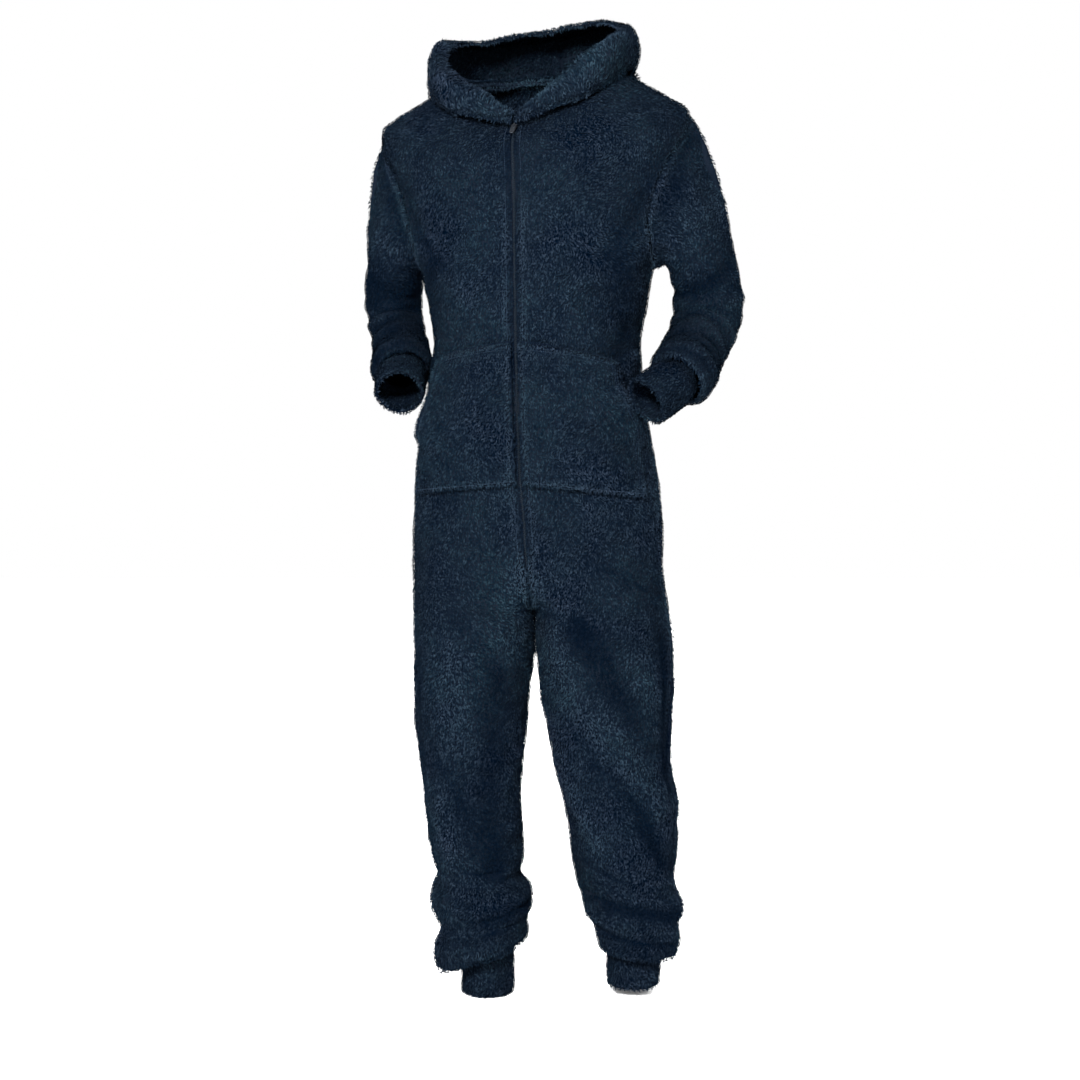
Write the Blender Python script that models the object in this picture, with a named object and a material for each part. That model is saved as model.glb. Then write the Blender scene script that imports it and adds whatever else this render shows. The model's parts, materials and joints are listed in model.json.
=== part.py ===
"""Hooded onesie pajama in long-pile fleece, worn and hollow, one object for each sewn piece.

The frame: metres, +Z up, -Y the front, +X the wearer's left. The origin is at the neck, where
the shoulders carry the garment. The wearer stands with the chest turned a little to their right
and each wrist at a mouth of the kangaroo pocket.

How it is laid out. The body is a stack of rings, from the neckline (level 0) down over the
shoulders, past the armholes and the hips to the crotch, and from there one stack for each leg
down to the ankle. A front panel runs from the middle to the side seam of those rings and a back
panel takes the rest. Sleeves, cuffs, hood, pocket and zip are all worked out from the edges and
faces of the panels, so that every seam closes with the same small gap.
"""
import math

import bmesh
import bpy
import numpy as np
from mathutils import Matrix, Vector

# ---------------------------------------------------------------- driving dimensions (metres)
WALL = 0.0055               # fleece with its pile, both faces
SEAM_GAP = 0.0003           # between two pieces at a seam
ZIP_OPENING = 0.0050        # between the two front edges along the zip
ZIP_END_LEVEL = 15.35       # where the zip stops above the crotch
TAPE_WIDTH = 0.0140
TAPE_THICKNESS = 0.0008
TAPE_SEAT = 0.0006          # from a front's inner face to the tape behind it
CHAIN_WIDTH = 0.0042
CHAIN_THICKNESS = 0.0022
PATCH_SEAT = 0.0022         # from a panel's face to a patch sewn on it
CREASE_LEVEL_PITCH = 0.045  # how far one level carries along the cloth
CREASE_RADIUS = 0.090       # turns a fold's degrees into metres

PANEL_COLUMNS = 10
SHOULDER_LEVEL = 3.0
UNDERARM_LEVEL = 9.0
HIP_LEVEL = 14.0
CROTCH_LEVEL = 18.0
LEGS_TOUCH = 1.6            # levels below the crotch over which the thighs part
ANKLE_LEVEL = 32.0
NECK_ROWS = 4
ARMHOLE_ROWS = 8
BODY_ROWS = 6
CROTCH_ROWS = 7
LEG_LEVELS = (18.9, 19.8, 20.7, 21.6, 22.4, 23.2, 24.0, 24.8, 25.5, 26.2, 26.9, 27.5, 28.0,
              28.5, 29.0, 29.5, 30.0, 30.5, 31.0, 31.5, 32.0)
ARM_RUN_ROWS = 7
SHOULDER_EASE = 0.15        # how much a sleeve's head stands out over the shoulder point
SIDES = {"left": 1, "right": -1}


def table(columns, rows):
    """A short table of sections: one array for each named column, the first one being the key."""
    return {name: np.array([row[k] for row in rows], float)
            for k, name in enumerate(columns.split())}


# Rings round the body. z_front, z_side and z_back are their heights at the middle of the front,
# at the side and at the middle of the back; turn is how far the front faces the wearer's right.
BODY = table(
    "level z_front z_side z_back half_width front_depth back_depth centre_x centre_y turn lean",
    [(0, -0.040, 0.044, 0.050, 0.112, 0.094, 0.078, 0.002, 0.004, 15, 0.080),
     (1, -0.054, 0.036, 0.040, 0.150, 0.112, 0.098, 0.003, 0.003, 15, 0.070),
     (2, -0.074, 0.007, 0.014, 0.206, 0.128, 0.118, 0.005, 0.002, 15, 0.045),
     (3, -0.100, -0.028, -0.020, 0.257, 0.138, 0.130, 0.008, 0.000, 15, 0.033),
     (4, -0.128, -0.058, -0.054, 0.261, 0.142, 0.134, 0.010, 0.000, 15, 0.028),
     (5, -0.156, -0.094, -0.093, 0.251, 0.144, 0.135, 0.011, 0.000, 15, 0.022),
     (6, -0.184, -0.135, -0.134, 0.238, 0.145, 0.134, 0.012, 0.000, 15, 0.016),
     (7, -0.214, -0.179, -0.178, 0.224, 0.145, 0.132, 0.012, 0.000, 15, 0.010),
     (8, -0.245, -0.224, -0.224, 0.209, 0.144, 0.129, 0.012, 0.000, 15, 0.005),
     (9, -0.279, -0.268, -0.268, 0.196, 0.142, 0.125, 0.012, 0.000, 15, 0.000),
     (10, -0.325, -0.325, -0.325, 0.186, 0.140, 0.120, 0.012, 0.001, 15, 0.000),
     (11, -0.385, -0.385, -0.385, 0.179, 0.138, 0.116, 0.012, 0.002, 15, 0.000),
     (12, -0.450, -0.450, -0.450, 0.180, 0.136, 0.120, 0.011, 0.002, 14, 0.000),
     (13, -0.525, -0.525, -0.525, 0.190, 0.134, 0.132, 0.010, 0.000, 13, 0.000),
     (14, -0.605, -0.605, -0.605, 0.203, 0.132, 0.144, 0.011, 0.000, 12, 0.000),
     (15, -0.690, -0.680, -0.690, 0.210, 0.128, 0.150, 0.013, 0.000, 10, 0.000),
     (16, -0.784, -0.740, -0.784, 0.213, 0.122, 0.146, 0.013, 0.000, 9, 0.000),
     (17, -0.866, -0.790, -0.866, 0.215, 0.116, 0.140, 0.013, 0.000, 8, 0.000),
     (18, -0.900, -0.840, -0.900, 0.216, 0.112, 0.136, 0.013, 0.000, 7, 0.000)])
BODY_ROUNDNESS = 0.90       # under 1 squares a ring's corners

# How far each ring belongs to the legs: none at the zip's end, all at the crotch.
FORK = table("level share", [(14, 0.0), (15, 0.0), (16, 0.18), (17, 0.55), (18, 1.0), (32, 1.0)])

# Where a panel's edge cuts each ring, in degrees from the front: shoulder seam, armhole, side.
FRONT_EDGE = table("level angle", [
    (0, 90), (3, 90), (4, 79), (5, 69), (6, 64), (7, 64), (8, 73), (9, 88), (10, 87), (12, 84),
    (15, 80), (18, 74), (32, 72)])
BACK_EDGE = table("level angle", [
    (0, 90), (3, 90), (4, 101), (5, 110), (6, 115), (7, 115), (8, 105), (9, 88), (10, 87),
    (12, 84), (15, 80), (18, 74), (32, 72)])

# Rings round each leg, z_in at the inseam and z_out at the side seam. The cloth blouses twice
# over the ankle cuff, then tucks up to it.
LEG = {
    "right": table("level z_in z_out centre_x half_width front_depth back_depth centre_y turn", [
        (14, -0.600, -0.600, -0.0950, 0.1013, 0.122, 0.140, 0.000, 12),
        (16, -0.740, -0.740, -0.0950, 0.1023, 0.122, 0.136, 0.000, 10),
        (18, -0.842, -0.842, -0.0950, 0.1020, 0.114, 0.128, 0.000, 10),
        (19, -0.900, -0.900, -0.0952, 0.1020, 0.109, 0.118, 0.002, 10),
        (20, -0.960, -0.960, -0.0975, 0.1000, 0.105, 0.110, 0.003, 10),
        (21, -1.025, -1.025, -0.1000, 0.0975, 0.102, 0.103, 0.003, 10),
        (22, -1.090, -1.090, -0.0995, 0.0900, 0.098, 0.096, 0.003, 10),
        (23, -1.155, -1.155, -0.0985, 0.0845, 0.093, 0.096, 0.006, 10),
        (24, -1.215, -1.215, -0.0935, 0.0835, 0.087, 0.096, 0.010, 10),
        (25, -1.262, -1.262, -0.0895, 0.0800, 0.083, 0.088, 0.013, 10),
        (26, -1.287, -1.286, -0.0880, 0.0728, 0.078, 0.081, 0.015, 10),
        (27, -1.312, -1.312, -0.0835, 0.0860, 0.089, 0.090, 0.016, 10),
        (28, -1.338, -1.344, -0.0823, 0.0900, 0.093, 0.092, 0.017, 10),
        (29, -1.366, -1.384, -0.0790, 0.0760, 0.078, 0.077, 0.018, 10),
        (30, -1.386, -1.418, -0.0850, 0.0830, 0.082, 0.078, 0.019, 10),
        (31, -1.406, -1.464, -0.0820, 0.0760, 0.071, 0.068, 0.020, 10),
        (32, -1.410, -1.446, -0.0732, 0.0480, 0.049, 0.049, 0.020, 10)]),
    "left": table("level z_in z_out centre_x half_width front_depth back_depth centre_y turn", [
        (14, -0.600, -0.600, 0.1205, 0.1108, 0.122, 0.140, 0.000, 9),
        (16, -0.740, -0.740, 0.1205, 0.1118, 0.122, 0.136, 0.000, 8),
        (18, -0.842, -0.842, 0.1220, 0.1130, 0.115, 0.128, 0.000, 7),
        (19, -0.900, -0.900, 0.1262, 0.1148, 0.111, 0.120, 0.000, 7),
        (20, -0.960, -0.960, 0.1285, 0.1130, 0.108, 0.113, 0.000, 7),
        (21, -1.025, -1.025, 0.1325, 0.1050, 0.105, 0.107, 0.000, 7),
        (22, -1.090, -1.090, 0.1375, 0.1005, 0.101, 0.100, 0.000, 7),
        (23, -1.155, -1.155, 0.1505, 0.0975, 0.095, 0.100, 0.003, 7),
        (24, -1.215, -1.215, 0.1550, 0.0910, 0.089, 0.098, 0.007, 7),
        (25, -1.262, -1.268, 0.1590, 0.0895, 0.086, 0.090, 0.010, 7),
        (26, -1.296, -1.290, 0.1635, 0.0865, 0.084, 0.087, 0.012, 7),
        (27, -1.324, -1.314, 0.1680, 0.0830, 0.085, 0.087, 0.014, 7),
        (28, -1.350, -1.346, 0.1780, 0.0880, 0.086, 0.087, 0.015, 7),
        (29, -1.378, -1.378, 0.1815, 0.0745, 0.077, 0.078, 0.016, 7),
        (30, -1.400, -1.406, 0.1850, 0.0745, 0.076, 0.075, 0.017, 7),
        (31, -1.420, -1.436, 0.1835, 0.0650, 0.066, 0.066, 0.018, 7),
        (32, -1.418, -1.428, 0.1772, 0.0480, 0.049, 0.049, 0.018, 7)]),
}
LEG_ROUNDNESS = 0.92

# The largest folds: soft ridges (height over 0) and troughs that run between two places on the
# rings. Angles are from the front, positive towards the side seam.
FOLDS = table("side from_level from_angle to_level to_angle width height", [
    (1, 18.4, -58, 22.8, 40, 0.022, 0.0080),
    (1, 17.6, -30, 22.4, 64, 0.022, -0.0080),
    (1, 19.4, 24, 24.0, 80, 0.022, 0.0070),
    (1, 20.4, -80, 24.0, -30, 0.022, 0.0040),
    (1, 26.6, -60, 28.0, 52, 0.014, -0.0080),
    (1, 29.0, -60, 30.0, 60, 0.012, -0.0060),
    (-1, 17.0, -78, 18.8, -30, 0.022, 0.0035),
    (-1, 22.0, 20, 25.0, -30, 0.026, -0.0040),
    (-1, 27.6, -80, 28.4, -10, 0.014, -0.0070),
    (1, 14.6, 150, 16.4, 100, 0.026, -0.0060),
    (-1, 14.6, 150, 16.4, 100, 0.026, -0.0060),
    (1, 18.6, 230, 20.2, 120, 0.026, -0.0060),
    (-1, 18.6, 230, 20.0, 120, 0.026, -0.0060),
    (1, 22.2, 200, 22.8, 110, 0.024, -0.0070),
    (-1, 22.0, 210, 22.6, 120, 0.024, -0.0070),
    (1, 10.2, 165, 11.2, 105, 0.026, -0.0060),
    (-1, 10.4, 160, 11.6, 100, 0.026, -0.0055),
    (1, 8.8, 50, 10.6, 74, 0.026, -0.0040),
    (-1, 8.8, 50, 10.8, 72, 0.026, -0.0045)])

# The arm's line from a little below the underarm to the wrist seam. out and deep are the
# sleeve's half sizes away from the body and front to back.
ARM = {
    "left": table("station x y z out deep", [
        (0, 0.2835, -0.022, -0.2620, 0.0570, 0.0650),
        (1, 0.2925, -0.008, -0.3020, 0.0590, 0.0640),
        (2, 0.2935, -0.008, -0.3430, 0.0590, 0.0620),
        (3, 0.2810, -0.026, -0.3780, 0.0550, 0.0600),
        (4, 0.2665, -0.055, -0.4020, 0.0530, 0.0580),
        (5, 0.2555, -0.084, -0.4200, 0.0540, 0.0570),
        (6, 0.2480, -0.106, -0.4340, 0.0580, 0.0590),
        (7, 0.2420, -0.119, -0.4430, 0.0560, 0.0570),
        (8, 0.2355, -0.127, -0.4490, 0.0440, 0.0440)]),
    "right": table("station x y z out deep", [
        (0, -0.2305, 0.105, -0.2620, 0.0500, 0.0580),
        (1, -0.2345, 0.126, -0.3000, 0.0510, 0.0580),
        (2, -0.2330, 0.132, -0.3370, 0.0480, 0.0580),
        (3, -0.2265, 0.117, -0.3700, 0.0480, 0.0570),
        (4, -0.2200, 0.092, -0.3950, 0.0480, 0.0560),
        (5, -0.2180, 0.066, -0.4140, 0.0510, 0.0560),
        (6, -0.2158, 0.050, -0.4250, 0.0535, 0.0590),
        (7, -0.2140, 0.038, -0.4330, 0.0520, 0.0560),
        (8, -0.2125, 0.030, -0.4380, 0.0430, 0.0430)]),
}
SLEEVE_STATIONS = (0.5, 1.0, 1.5, 2.0, 2.5, 3.0, 3.6, 4.2, 4.8, 5.3, 5.8, 6.3, 6.8, 7.3, 7.7, 8.0)

# Cuffs: the far end's middle, and the radius there. The near end is tucked into the sleeve.
WRIST_CUFF_END = {"left": (0.1850, -0.160, -0.4810), "right": (-0.2150, -0.030, -0.4690)}
WRIST_CUFF_RADIUS = 0.0430
WRIST_CUFF_SQUEEZE = {"left": 0.0084, "right": 0.0066}   # its near end, inside the sleeve
WRIST_CUFF_TUCK = 0.0100
ANKLE_CUFF_HALF_WIDTH = 0.0475
ANKLE_CUFF_BOTTOM = {"left": -1.4840, "right": -1.4980}
ANKLE_CUFF_TUCK = 0.0140
ANKLE_CUFF_SQUEEZE = {"left": 0.0008, "right": 0.0016}
CUFF_ROWS = 4

# The hood, worn down, a section for each angle round the neckline, 0 at the front. reach_level is
# how far its under layer lies over the shoulders and back, bearing the way its cloth leaves the
# neck. Each pair gives a point of the outer layer, out from and up from the neckline: where it
# turns up, its widest, its shoulder, its top and its edge.
HOOD_SECTIONS = ("angle reach_level bearing turn_out turn_up wide_out wide_up "
                 "high_out high_up top_out top_up edge_out edge_up")
HOOD = {
    "right": table(HOOD_SECTIONS, [
        (0, 0.10, 4, 0.006, 0.003, 0.009, 0.007, 0.010, 0.011, 0.009, 0.015, 0.006, 0.019),
        (26, 0.60, 28, 0.019, -0.005, 0.028, 0.006, 0.029, 0.024, 0.020, 0.038, 0.007, 0.043),
        (45, 1.00, 48, 0.034, -0.018, 0.047, -0.007, 0.052, 0.016, 0.040, 0.036, 0.014, 0.040),
        (70, 1.20, 74, 0.048, -0.018, 0.058, 0.002, 0.060, 0.028, 0.046, 0.052, 0.026, 0.044),
        (90, 1.10, 96, 0.050, -0.012, 0.061, 0.008, 0.062, 0.040, 0.046, 0.072, 0.026, 0.064),
        (115, 1.60, 128, 0.068, -0.020, 0.086, -0.006, 0.092, 0.032, 0.070, 0.084, 0.038, 0.080),
        (140, 2.60, 156, 0.098, -0.064, 0.116, -0.044, 0.120, 0.014, 0.086, 0.082, 0.046, 0.084),
        (160, 4.00, 170, 0.106, -0.124, 0.130, -0.098, 0.136, -0.016, 0.096, 0.084, 0.046, 0.088),
        (180, 4.60, 180, 0.104, -0.150, 0.130, -0.124, 0.140, -0.030, 0.102, 0.086, 0.048, 0.092)]),
    "left": table(HOOD_SECTIONS, [
        (0, 0.10, 4, 0.006, 0.003, 0.009, 0.007, 0.010, 0.011, 0.009, 0.015, 0.006, 0.019),
        (26, 0.45, 28, 0.017, -0.004, 0.026, 0.006, 0.028, 0.022, 0.019, 0.036, 0.007, 0.040),
        (45, 0.90, 48, 0.032, -0.018, 0.045, -0.006, 0.050, 0.018, 0.040, 0.042, 0.014, 0.046),
        (70, 1.10, 74, 0.046, -0.018, 0.058, 0.002, 0.063, 0.034, 0.050, 0.058, 0.026, 0.050),
        (90, 1.00, 96, 0.050, -0.002, 0.060, 0.012, 0.063, 0.038, 0.048, 0.064, 0.028, 0.058),
        (115, 1.40, 128, 0.060, -0.008, 0.070, 0.004, 0.073, 0.036, 0.056, 0.080, 0.036, 0.080),
        (140, 2.40, 156, 0.094, -0.052, 0.108, -0.034, 0.112, 0.018, 0.080, 0.093, 0.044, 0.096),
        (160, 3.90, 170, 0.106, -0.118, 0.128, -0.094, 0.134, -0.012, 0.096, 0.091, 0.046, 0.095),
        (180, 4.60, 180, 0.104, -0.150, 0.130, -0.124, 0.140, -0.030, 0.102, 0.086, 0.048, 0.092)]),
}
HOOD_ROWS = 15
HOOD_COLUMNS = 20          # as many as a front and a back have, so that the neckline seam meets
HOOD_UNDER_LIFT = 0.0080    # its under layer lies on the shoulders with this much air

# Kangaroo pocket, a half on each side of the zip. Heights run from the zip edge to the mouth.
POCKET_TOP_AT_ZIP = -0.386
POCKET_TOP_AT_MOUTH = -0.414
POCKET_BOTTOM_AT_ZIP = -0.615
POCKET_BOTTOM_AT_SIDE = -0.640
POCKET_EDGE = {
    "left": table("drop angle", [(0.0, 54), (0.28, 59), (0.55, 66), (0.70, 67), (1.0, 65)]),
    "right": table("drop angle", [(0.0, 49), (0.28, 53), (0.55, 62), (0.70, 66), (1.0, 65)]),
}
POCKET_MOUTH_END = 0.55     # share of the pocket's height that the mouth takes
POCKET_FULLNESS = 0.0150    # how far the middle stands off the front
POCKET_ZIP_MARGIN = 0.0030  # from the zip opening's edge to the pocket's edge
POCKET_ROWS = 9

# Zip slider and pull, sizes along the zip, across it and out from the cloth.
SLIDER_DROP = 0.0130        # from the neckline edge down the zip
SLIDER_LENGTH = 0.0105
SLIDER_WIDTH = 0.0080
SLIDER_PLATE = 0.0013
SLIDER_NECK_WIDTH = 0.0040
SLIDER_STAND_OFF = 0.0006
BRIDGE_WIDTH = 0.0026
BRIDGE_THICKNESS = 0.0010
BRIDGE_CLEARANCE = 0.0022
BRIDGE_LENGTH = 0.0076
PULL_WIDTH = 0.0074
PULL_LENGTH = 0.0245
PULL_THICKNESS = 0.0013
PULL_BAR = 0.0012           # the bar of the pull that lies under the bridge
PULL_PLAY = 0.0005          # between that bar and the end of the bridge
PULL_SLOT_WIDTH = 0.0034
PULL_SLOT_LENGTH = 0.0058
PULL_HOLE_RADIUS = 0.0020
PULL_HOLE_FROM_END = 0.0042

CLOTH = (0.020, 0.031, 0.045)
CUFF_CLOTH = (0.022, 0.033, 0.047)
ZIP_CLOTH = (0.013, 0.017, 0.025)
ZIP_METAL = (0.075, 0.082, 0.095)


# ---------------------------------------------------------------- curves through short tables
def slopes(keys, values):
    """Slopes that carry a smooth curve through the rows without bulging past any of them."""
    step = np.diff(keys)
    rise = np.diff(values) / step
    slope = np.zeros(len(keys))
    slope[0] = rise[0]
    slope[-1] = rise[-1]
    for k in range(1, len(keys) - 1):
        if rise[k - 1] * rise[k] > 0:
            near = 2 * step[k] + step[k - 1]
            far = step[k] + 2 * step[k - 1]
            slope[k] = (near + far) / (near / rise[k - 1] + far / rise[k])
    return slope


def read(tab, at, *columns):
    """The named columns of a table at a place between its rows."""
    keys = next(iter(tab.values()))
    place = min(max(float(at), keys[0]), keys[-1])
    k = int(np.clip(np.searchsorted(keys, place, side="right") - 1, 0, len(keys) - 2))
    width = keys[k + 1] - keys[k]
    t = (place - keys[k]) / width
    found = []
    for name in columns:
        values = tab[name]
        slope = slopes(keys, values)
        found.append((2 * t**3 - 3 * t**2 + 1) * values[k] + (t**3 - 2 * t**2 + t) * width * slope[k]
                     + (3 * t**2 - 2 * t**3) * values[k + 1] + (t**3 - t**2) * width * slope[k + 1])
    return found[0] if len(found) == 1 else found


def smooth_step(value):
    """0 below 0, 1 above 1, and a soft rise between."""
    t = min(max(value, 0.0), 1.0)
    return t * t * (3 - 2 * t)


def unit(vector):
    """The same direction, one metre long."""
    return vector / max(np.linalg.norm(vector), 1e-12)


def turned(across, forward, turn):
    """A step across and forward, once the body has turned to the wearer's right."""
    angle = math.radians(turn)
    return (across * math.cos(angle) - forward * math.sin(angle),
            -across * math.sin(angle) - forward * math.cos(angle))


def rounded(value, roundness):
    """A sine or cosine raised so that a ring is fuller at its corners."""
    return math.copysign(abs(value) ** roundness, value)


# ---------------------------------------------------------------- the body's and legs' surfaces
def body_ring(side, level, angle):
    """A point of the torso's ring, with angle 0 at the front and 180 at the back."""
    (z_front, z_side, z_back, half_width, front_depth, back_depth, centre_x, centre_y, turn,
     lean) = read(BODY, level, "z_front", "z_side", "z_back", "half_width", "front_depth",
                  "back_depth", "centre_x", "centre_y", "turn", "lean")
    sine = math.sin(math.radians(angle))
    cosine = math.cos(math.radians(angle))
    across = side * half_width * rounded(sine, BODY_ROUNDNESS)
    forward = rounded(cosine, BODY_ROUNDNESS) * (front_depth if cosine > 0 else back_depth)
    x, y = turned(across, forward, turn)
    z_middle = z_front if cosine > 0 else z_back
    z = z_side + (z_middle - z_side) * cosine**2 + lean * across
    return np.array((centre_x + x, centre_y + y, z))


def leg_ring(side, level, angle):
    """A point of a leg's ring: the front is 0, the side seam near 90, the inseam -90 or 270."""
    name = "left" if side > 0 else "right"
    z_in, z_out, centre_x, half_width, front_depth, back_depth, centre_y, turn = read(
        LEG[name], level, "z_in", "z_out", "centre_x", "half_width", "front_depth",
        "back_depth", "centre_y", "turn")
    sine = math.sin(math.radians(angle))
    cosine = math.cos(math.radians(angle))
    across = side * half_width * rounded(sine, LEG_ROUNDNESS)
    forward = rounded(cosine, LEG_ROUNDNESS) * (front_depth if cosine > 0 else back_depth)
    x, y = turned(across, forward, turn * (1 - abs(sine)))
    return np.array((centre_x + x, centre_y + y, z_in + (z_out - z_in) * (1 + sine) / 2))


def fold_height(side, level, angle):
    """How far the folds lift the cloth at one place."""
    height = 0.0
    for k in range(len(FOLDS["side"])):
        if FOLDS["side"][k] != side:
            continue
        start = np.array((FOLDS["from_level"][k] * CREASE_LEVEL_PITCH,
                          math.radians(FOLDS["from_angle"][k]) * CREASE_RADIUS))
        end = np.array((FOLDS["to_level"][k] * CREASE_LEVEL_PITCH,
                        math.radians(FOLDS["to_angle"][k]) * CREASE_RADIUS))
        here = np.array((level * CREASE_LEVEL_PITCH, math.radians(angle) * CREASE_RADIUS))
        run = end - start
        along = np.dot(here - start, run) / np.dot(run, run)
        nearest = start + min(max(along, 0.0), 1.0) * run
        away = np.linalg.norm(here - nearest) / FOLDS["width"][k]
        height += FOLDS["height"][k] * math.exp(-away**2)
    return height


def open_place(side, face, level, share):
    """A point of a panel before its folds and before the fork's seam draws the legs together."""
    edge = read(FRONT_EDGE if face == "front" else BACK_EDGE, level, "angle")
    if face == "front":
        body_angle = edge * share
        leg_angle = -90 + (edge + 90) * share
    else:
        body_angle = 180 - (180 - edge) * share
        leg_angle = 270 - (270 - edge) * share
    legs = read(FORK, level, "share") if level > HIP_LEVEL else 0.0
    if legs <= 0:
        return body_ring(side, level, body_angle), body_angle
    leg = leg_ring(side, level, leg_angle)
    if legs >= 1:
        return leg, leg_angle
    return ((1 - legs) * body_ring(side, level, body_angle) + legs * leg,
            (1 - legs) * body_angle + legs * leg_angle)


def place(side, face, level, share):
    """A point of a panel before its folds: share 0 at the middle seam, 1 at the side seam."""
    point, angle = open_place(side, face, level, share)
    closing = 1 - smooth_step((level - CROTCH_LEVEL) / LEGS_TOUCH)
    if level <= HIP_LEVEL or closing <= 0 or share >= 0.6:
        return point, angle
    own = open_place(side, face, level, 0.0)[0]
    other = open_place(-side, face, level, 0.0)[0]
    return point + (other - own) / 2 * closing * (1 - share / 0.6)**2, angle


def across_direction(side, face, level, share):
    """Along the cloth from the middle seam to the side seam, one metre long."""
    step = 0.03
    low = max(share - step, 0.0)
    return unit(place(side, face, level, share + step)[0] - place(side, face, level, low)[0])


def down_direction(side, face, level, share):
    """Along the cloth from one ring to the next, one metre long."""
    step = 0.3
    low = max(level - step, 0.0)
    high = min(level + step, ANKLE_LEVEL)
    return unit(place(side, face, high, share)[0] - place(side, face, low, share)[0])


def raw_outward(side, face, level, share):
    """The way out of the cloth, from its run across and down."""
    normal = unit(np.cross(across_direction(side, face, level, share),
                           down_direction(side, face, level, share)))
    return normal * (-1 if (face == "front") == (side > 0) else 1)


def outward(side, face, level, share):
    """The cloth's outward direction at one place of a panel, shared by both sides of a seam."""
    normal = raw_outward(side, face, level, share)
    if share > 0:
        return normal
    if level < CROTCH_LEVEL:
        return unit(normal + raw_outward(-side, face, level, share))
    return unit(normal + raw_outward(side, "back" if face == "front" else "front", level, share))


def panel_point(side, face, level, share, lift=0.0):
    """A point on a panel's outer face with its folds, moved out by a lift."""
    point, angle = place(side, face, level, share)
    return point + outward(side, face, level, share) * (fold_height(side, level, angle) + lift)


# ---------------------------------------------------------------- walls between two faces
def collection(name):
    """A new collection in the scene."""
    made = bpy.data.collections.new(name)
    bpy.context.scene.collection.children.link(made)
    return made


def material(name, colour, roughness, metallic=0.0):
    """A plain finish."""
    made = bpy.data.materials.new(name)
    made.use_nodes = True
    shader = made.node_tree.nodes["Principled BSDF"]
    shader.inputs["Base Color"].default_value = (*colour, 1.0)
    shader.inputs["Roughness"].default_value = roughness
    shader.inputs["Metallic"].default_value = metallic
    return made


def add_mesh(name, vertices, faces, finish, parts):
    """An object of its own from vertices and faces, turned the right way out."""
    mesh = bpy.data.meshes.new(name)
    mesh.from_pydata([tuple(v) for v in vertices], [], faces)
    made = bpy.data.objects.new(name, mesh)
    parts.objects.link(made)
    work = bmesh.new()
    work.from_mesh(mesh)
    bmesh.ops.recalc_face_normals(work, faces=work.faces)
    if work.calc_volume(signed=True) < 0:
        bmesh.ops.reverse_faces(work, faces=work.faces)
    work.to_mesh(mesh)
    work.free()
    mesh.materials.append(finish)
    mesh.shade_smooth()
    mesh.set_sharp_from_angle(angle=math.radians(50))
    return made


def rim(vertices, outer_a, outer_b, inner_b, inner_a):
    """A wall's edge between its faces, split so that the two sides of a seam split alike."""
    first = vertices[outer_a]
    second = vertices[outer_b]
    if (first[2], first[0]) > (second[2], second[0]):
        return [(outer_a, outer_b, inner_b), (outer_a, inner_b, inner_a)]
    return [(outer_a, outer_b, inner_a), (outer_b, inner_b, inner_a)]


def sheet_faces(points, rows, columns, last, offset):
    """Triangles of one face of a wall and of the other, each square cut along its better
    diagonal, and the same way on both faces."""
    front = []
    back = []
    for i in range(rows - 1):
        for j in range(last):
            corner = (i * columns + j, i * columns + (j + 1) % columns,
                      (i + 1) * columns + (j + 1) % columns, (i + 1) * columns + j)
            if bend(points, corner) <= bend(points, corner[1:] + corner[:1]):
                cut = ((0, 1, 2), (0, 2, 3))
            else:
                cut = ((1, 2, 3), (1, 3, 0))
            for triple in cut:
                front.append(tuple(corner[k] for k in triple))
                back.append(tuple(offset + corner[k] for k in reversed(triple)))
    return front + back


def bend(points, corner):
    """How sharply a square folds when it is cut from its first corner to its third."""
    a, b, c, d = (points[k] for k in corner)
    first = np.cross(b - a, c - a)
    second = np.cross(c - a, d - a)
    size = np.linalg.norm(first) * np.linalg.norm(second)
    return 1 - np.dot(first, second) / max(size, 1e-18)


def wall(name, outer, inner, finish, parts, tube=False):
    """A closed wall between an outer and an inner grid of points; a tube's columns join up."""
    rows, columns, _ = outer.shape
    vertices = np.concatenate((outer.reshape(-1, 3), inner.reshape(-1, 3)))
    offset = rows * columns
    last = columns if tube else columns - 1
    faces = sheet_faces(vertices, rows, columns, last, offset)
    for i in (0, rows - 1):
        for j in range(last):
            a = i * columns + j
            b = i * columns + (j + 1) % columns
            faces += rim(vertices, a, b, offset + b, offset + a)
    if not tube:
        for j in (0, columns - 1):
            for i in range(rows - 1):
                a = i * columns + j
                b = (i + 1) * columns + j
                faces += rim(vertices, a, b, offset + b, offset + a)
    return add_mesh(name, vertices, faces, finish, parts)


def tube_wall(name, rings, directions, finish, parts, thickness=WALL):
    """A tube whose inner face lies one wall inside its rings."""
    return wall(name, rings, rings - directions * thickness, finish, parts, tube=True)


# ---------------------------------------------------------------- front and back panels
def panel_levels():
    """The rings that the panels' rows follow."""
    levels = list(np.linspace(0, SHOULDER_LEVEL, NECK_ROWS + 1))
    levels += list(np.linspace(SHOULDER_LEVEL, UNDERARM_LEVEL, ARMHOLE_ROWS + 1))[1:]
    levels += list(np.linspace(UNDERARM_LEVEL, HIP_LEVEL, BODY_ROWS + 1))[1:]
    levels += list(np.linspace(HIP_LEVEL, CROTCH_LEVEL, CROTCH_ROWS + 1))[1:]
    return levels + list(LEG_LEVELS)


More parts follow.
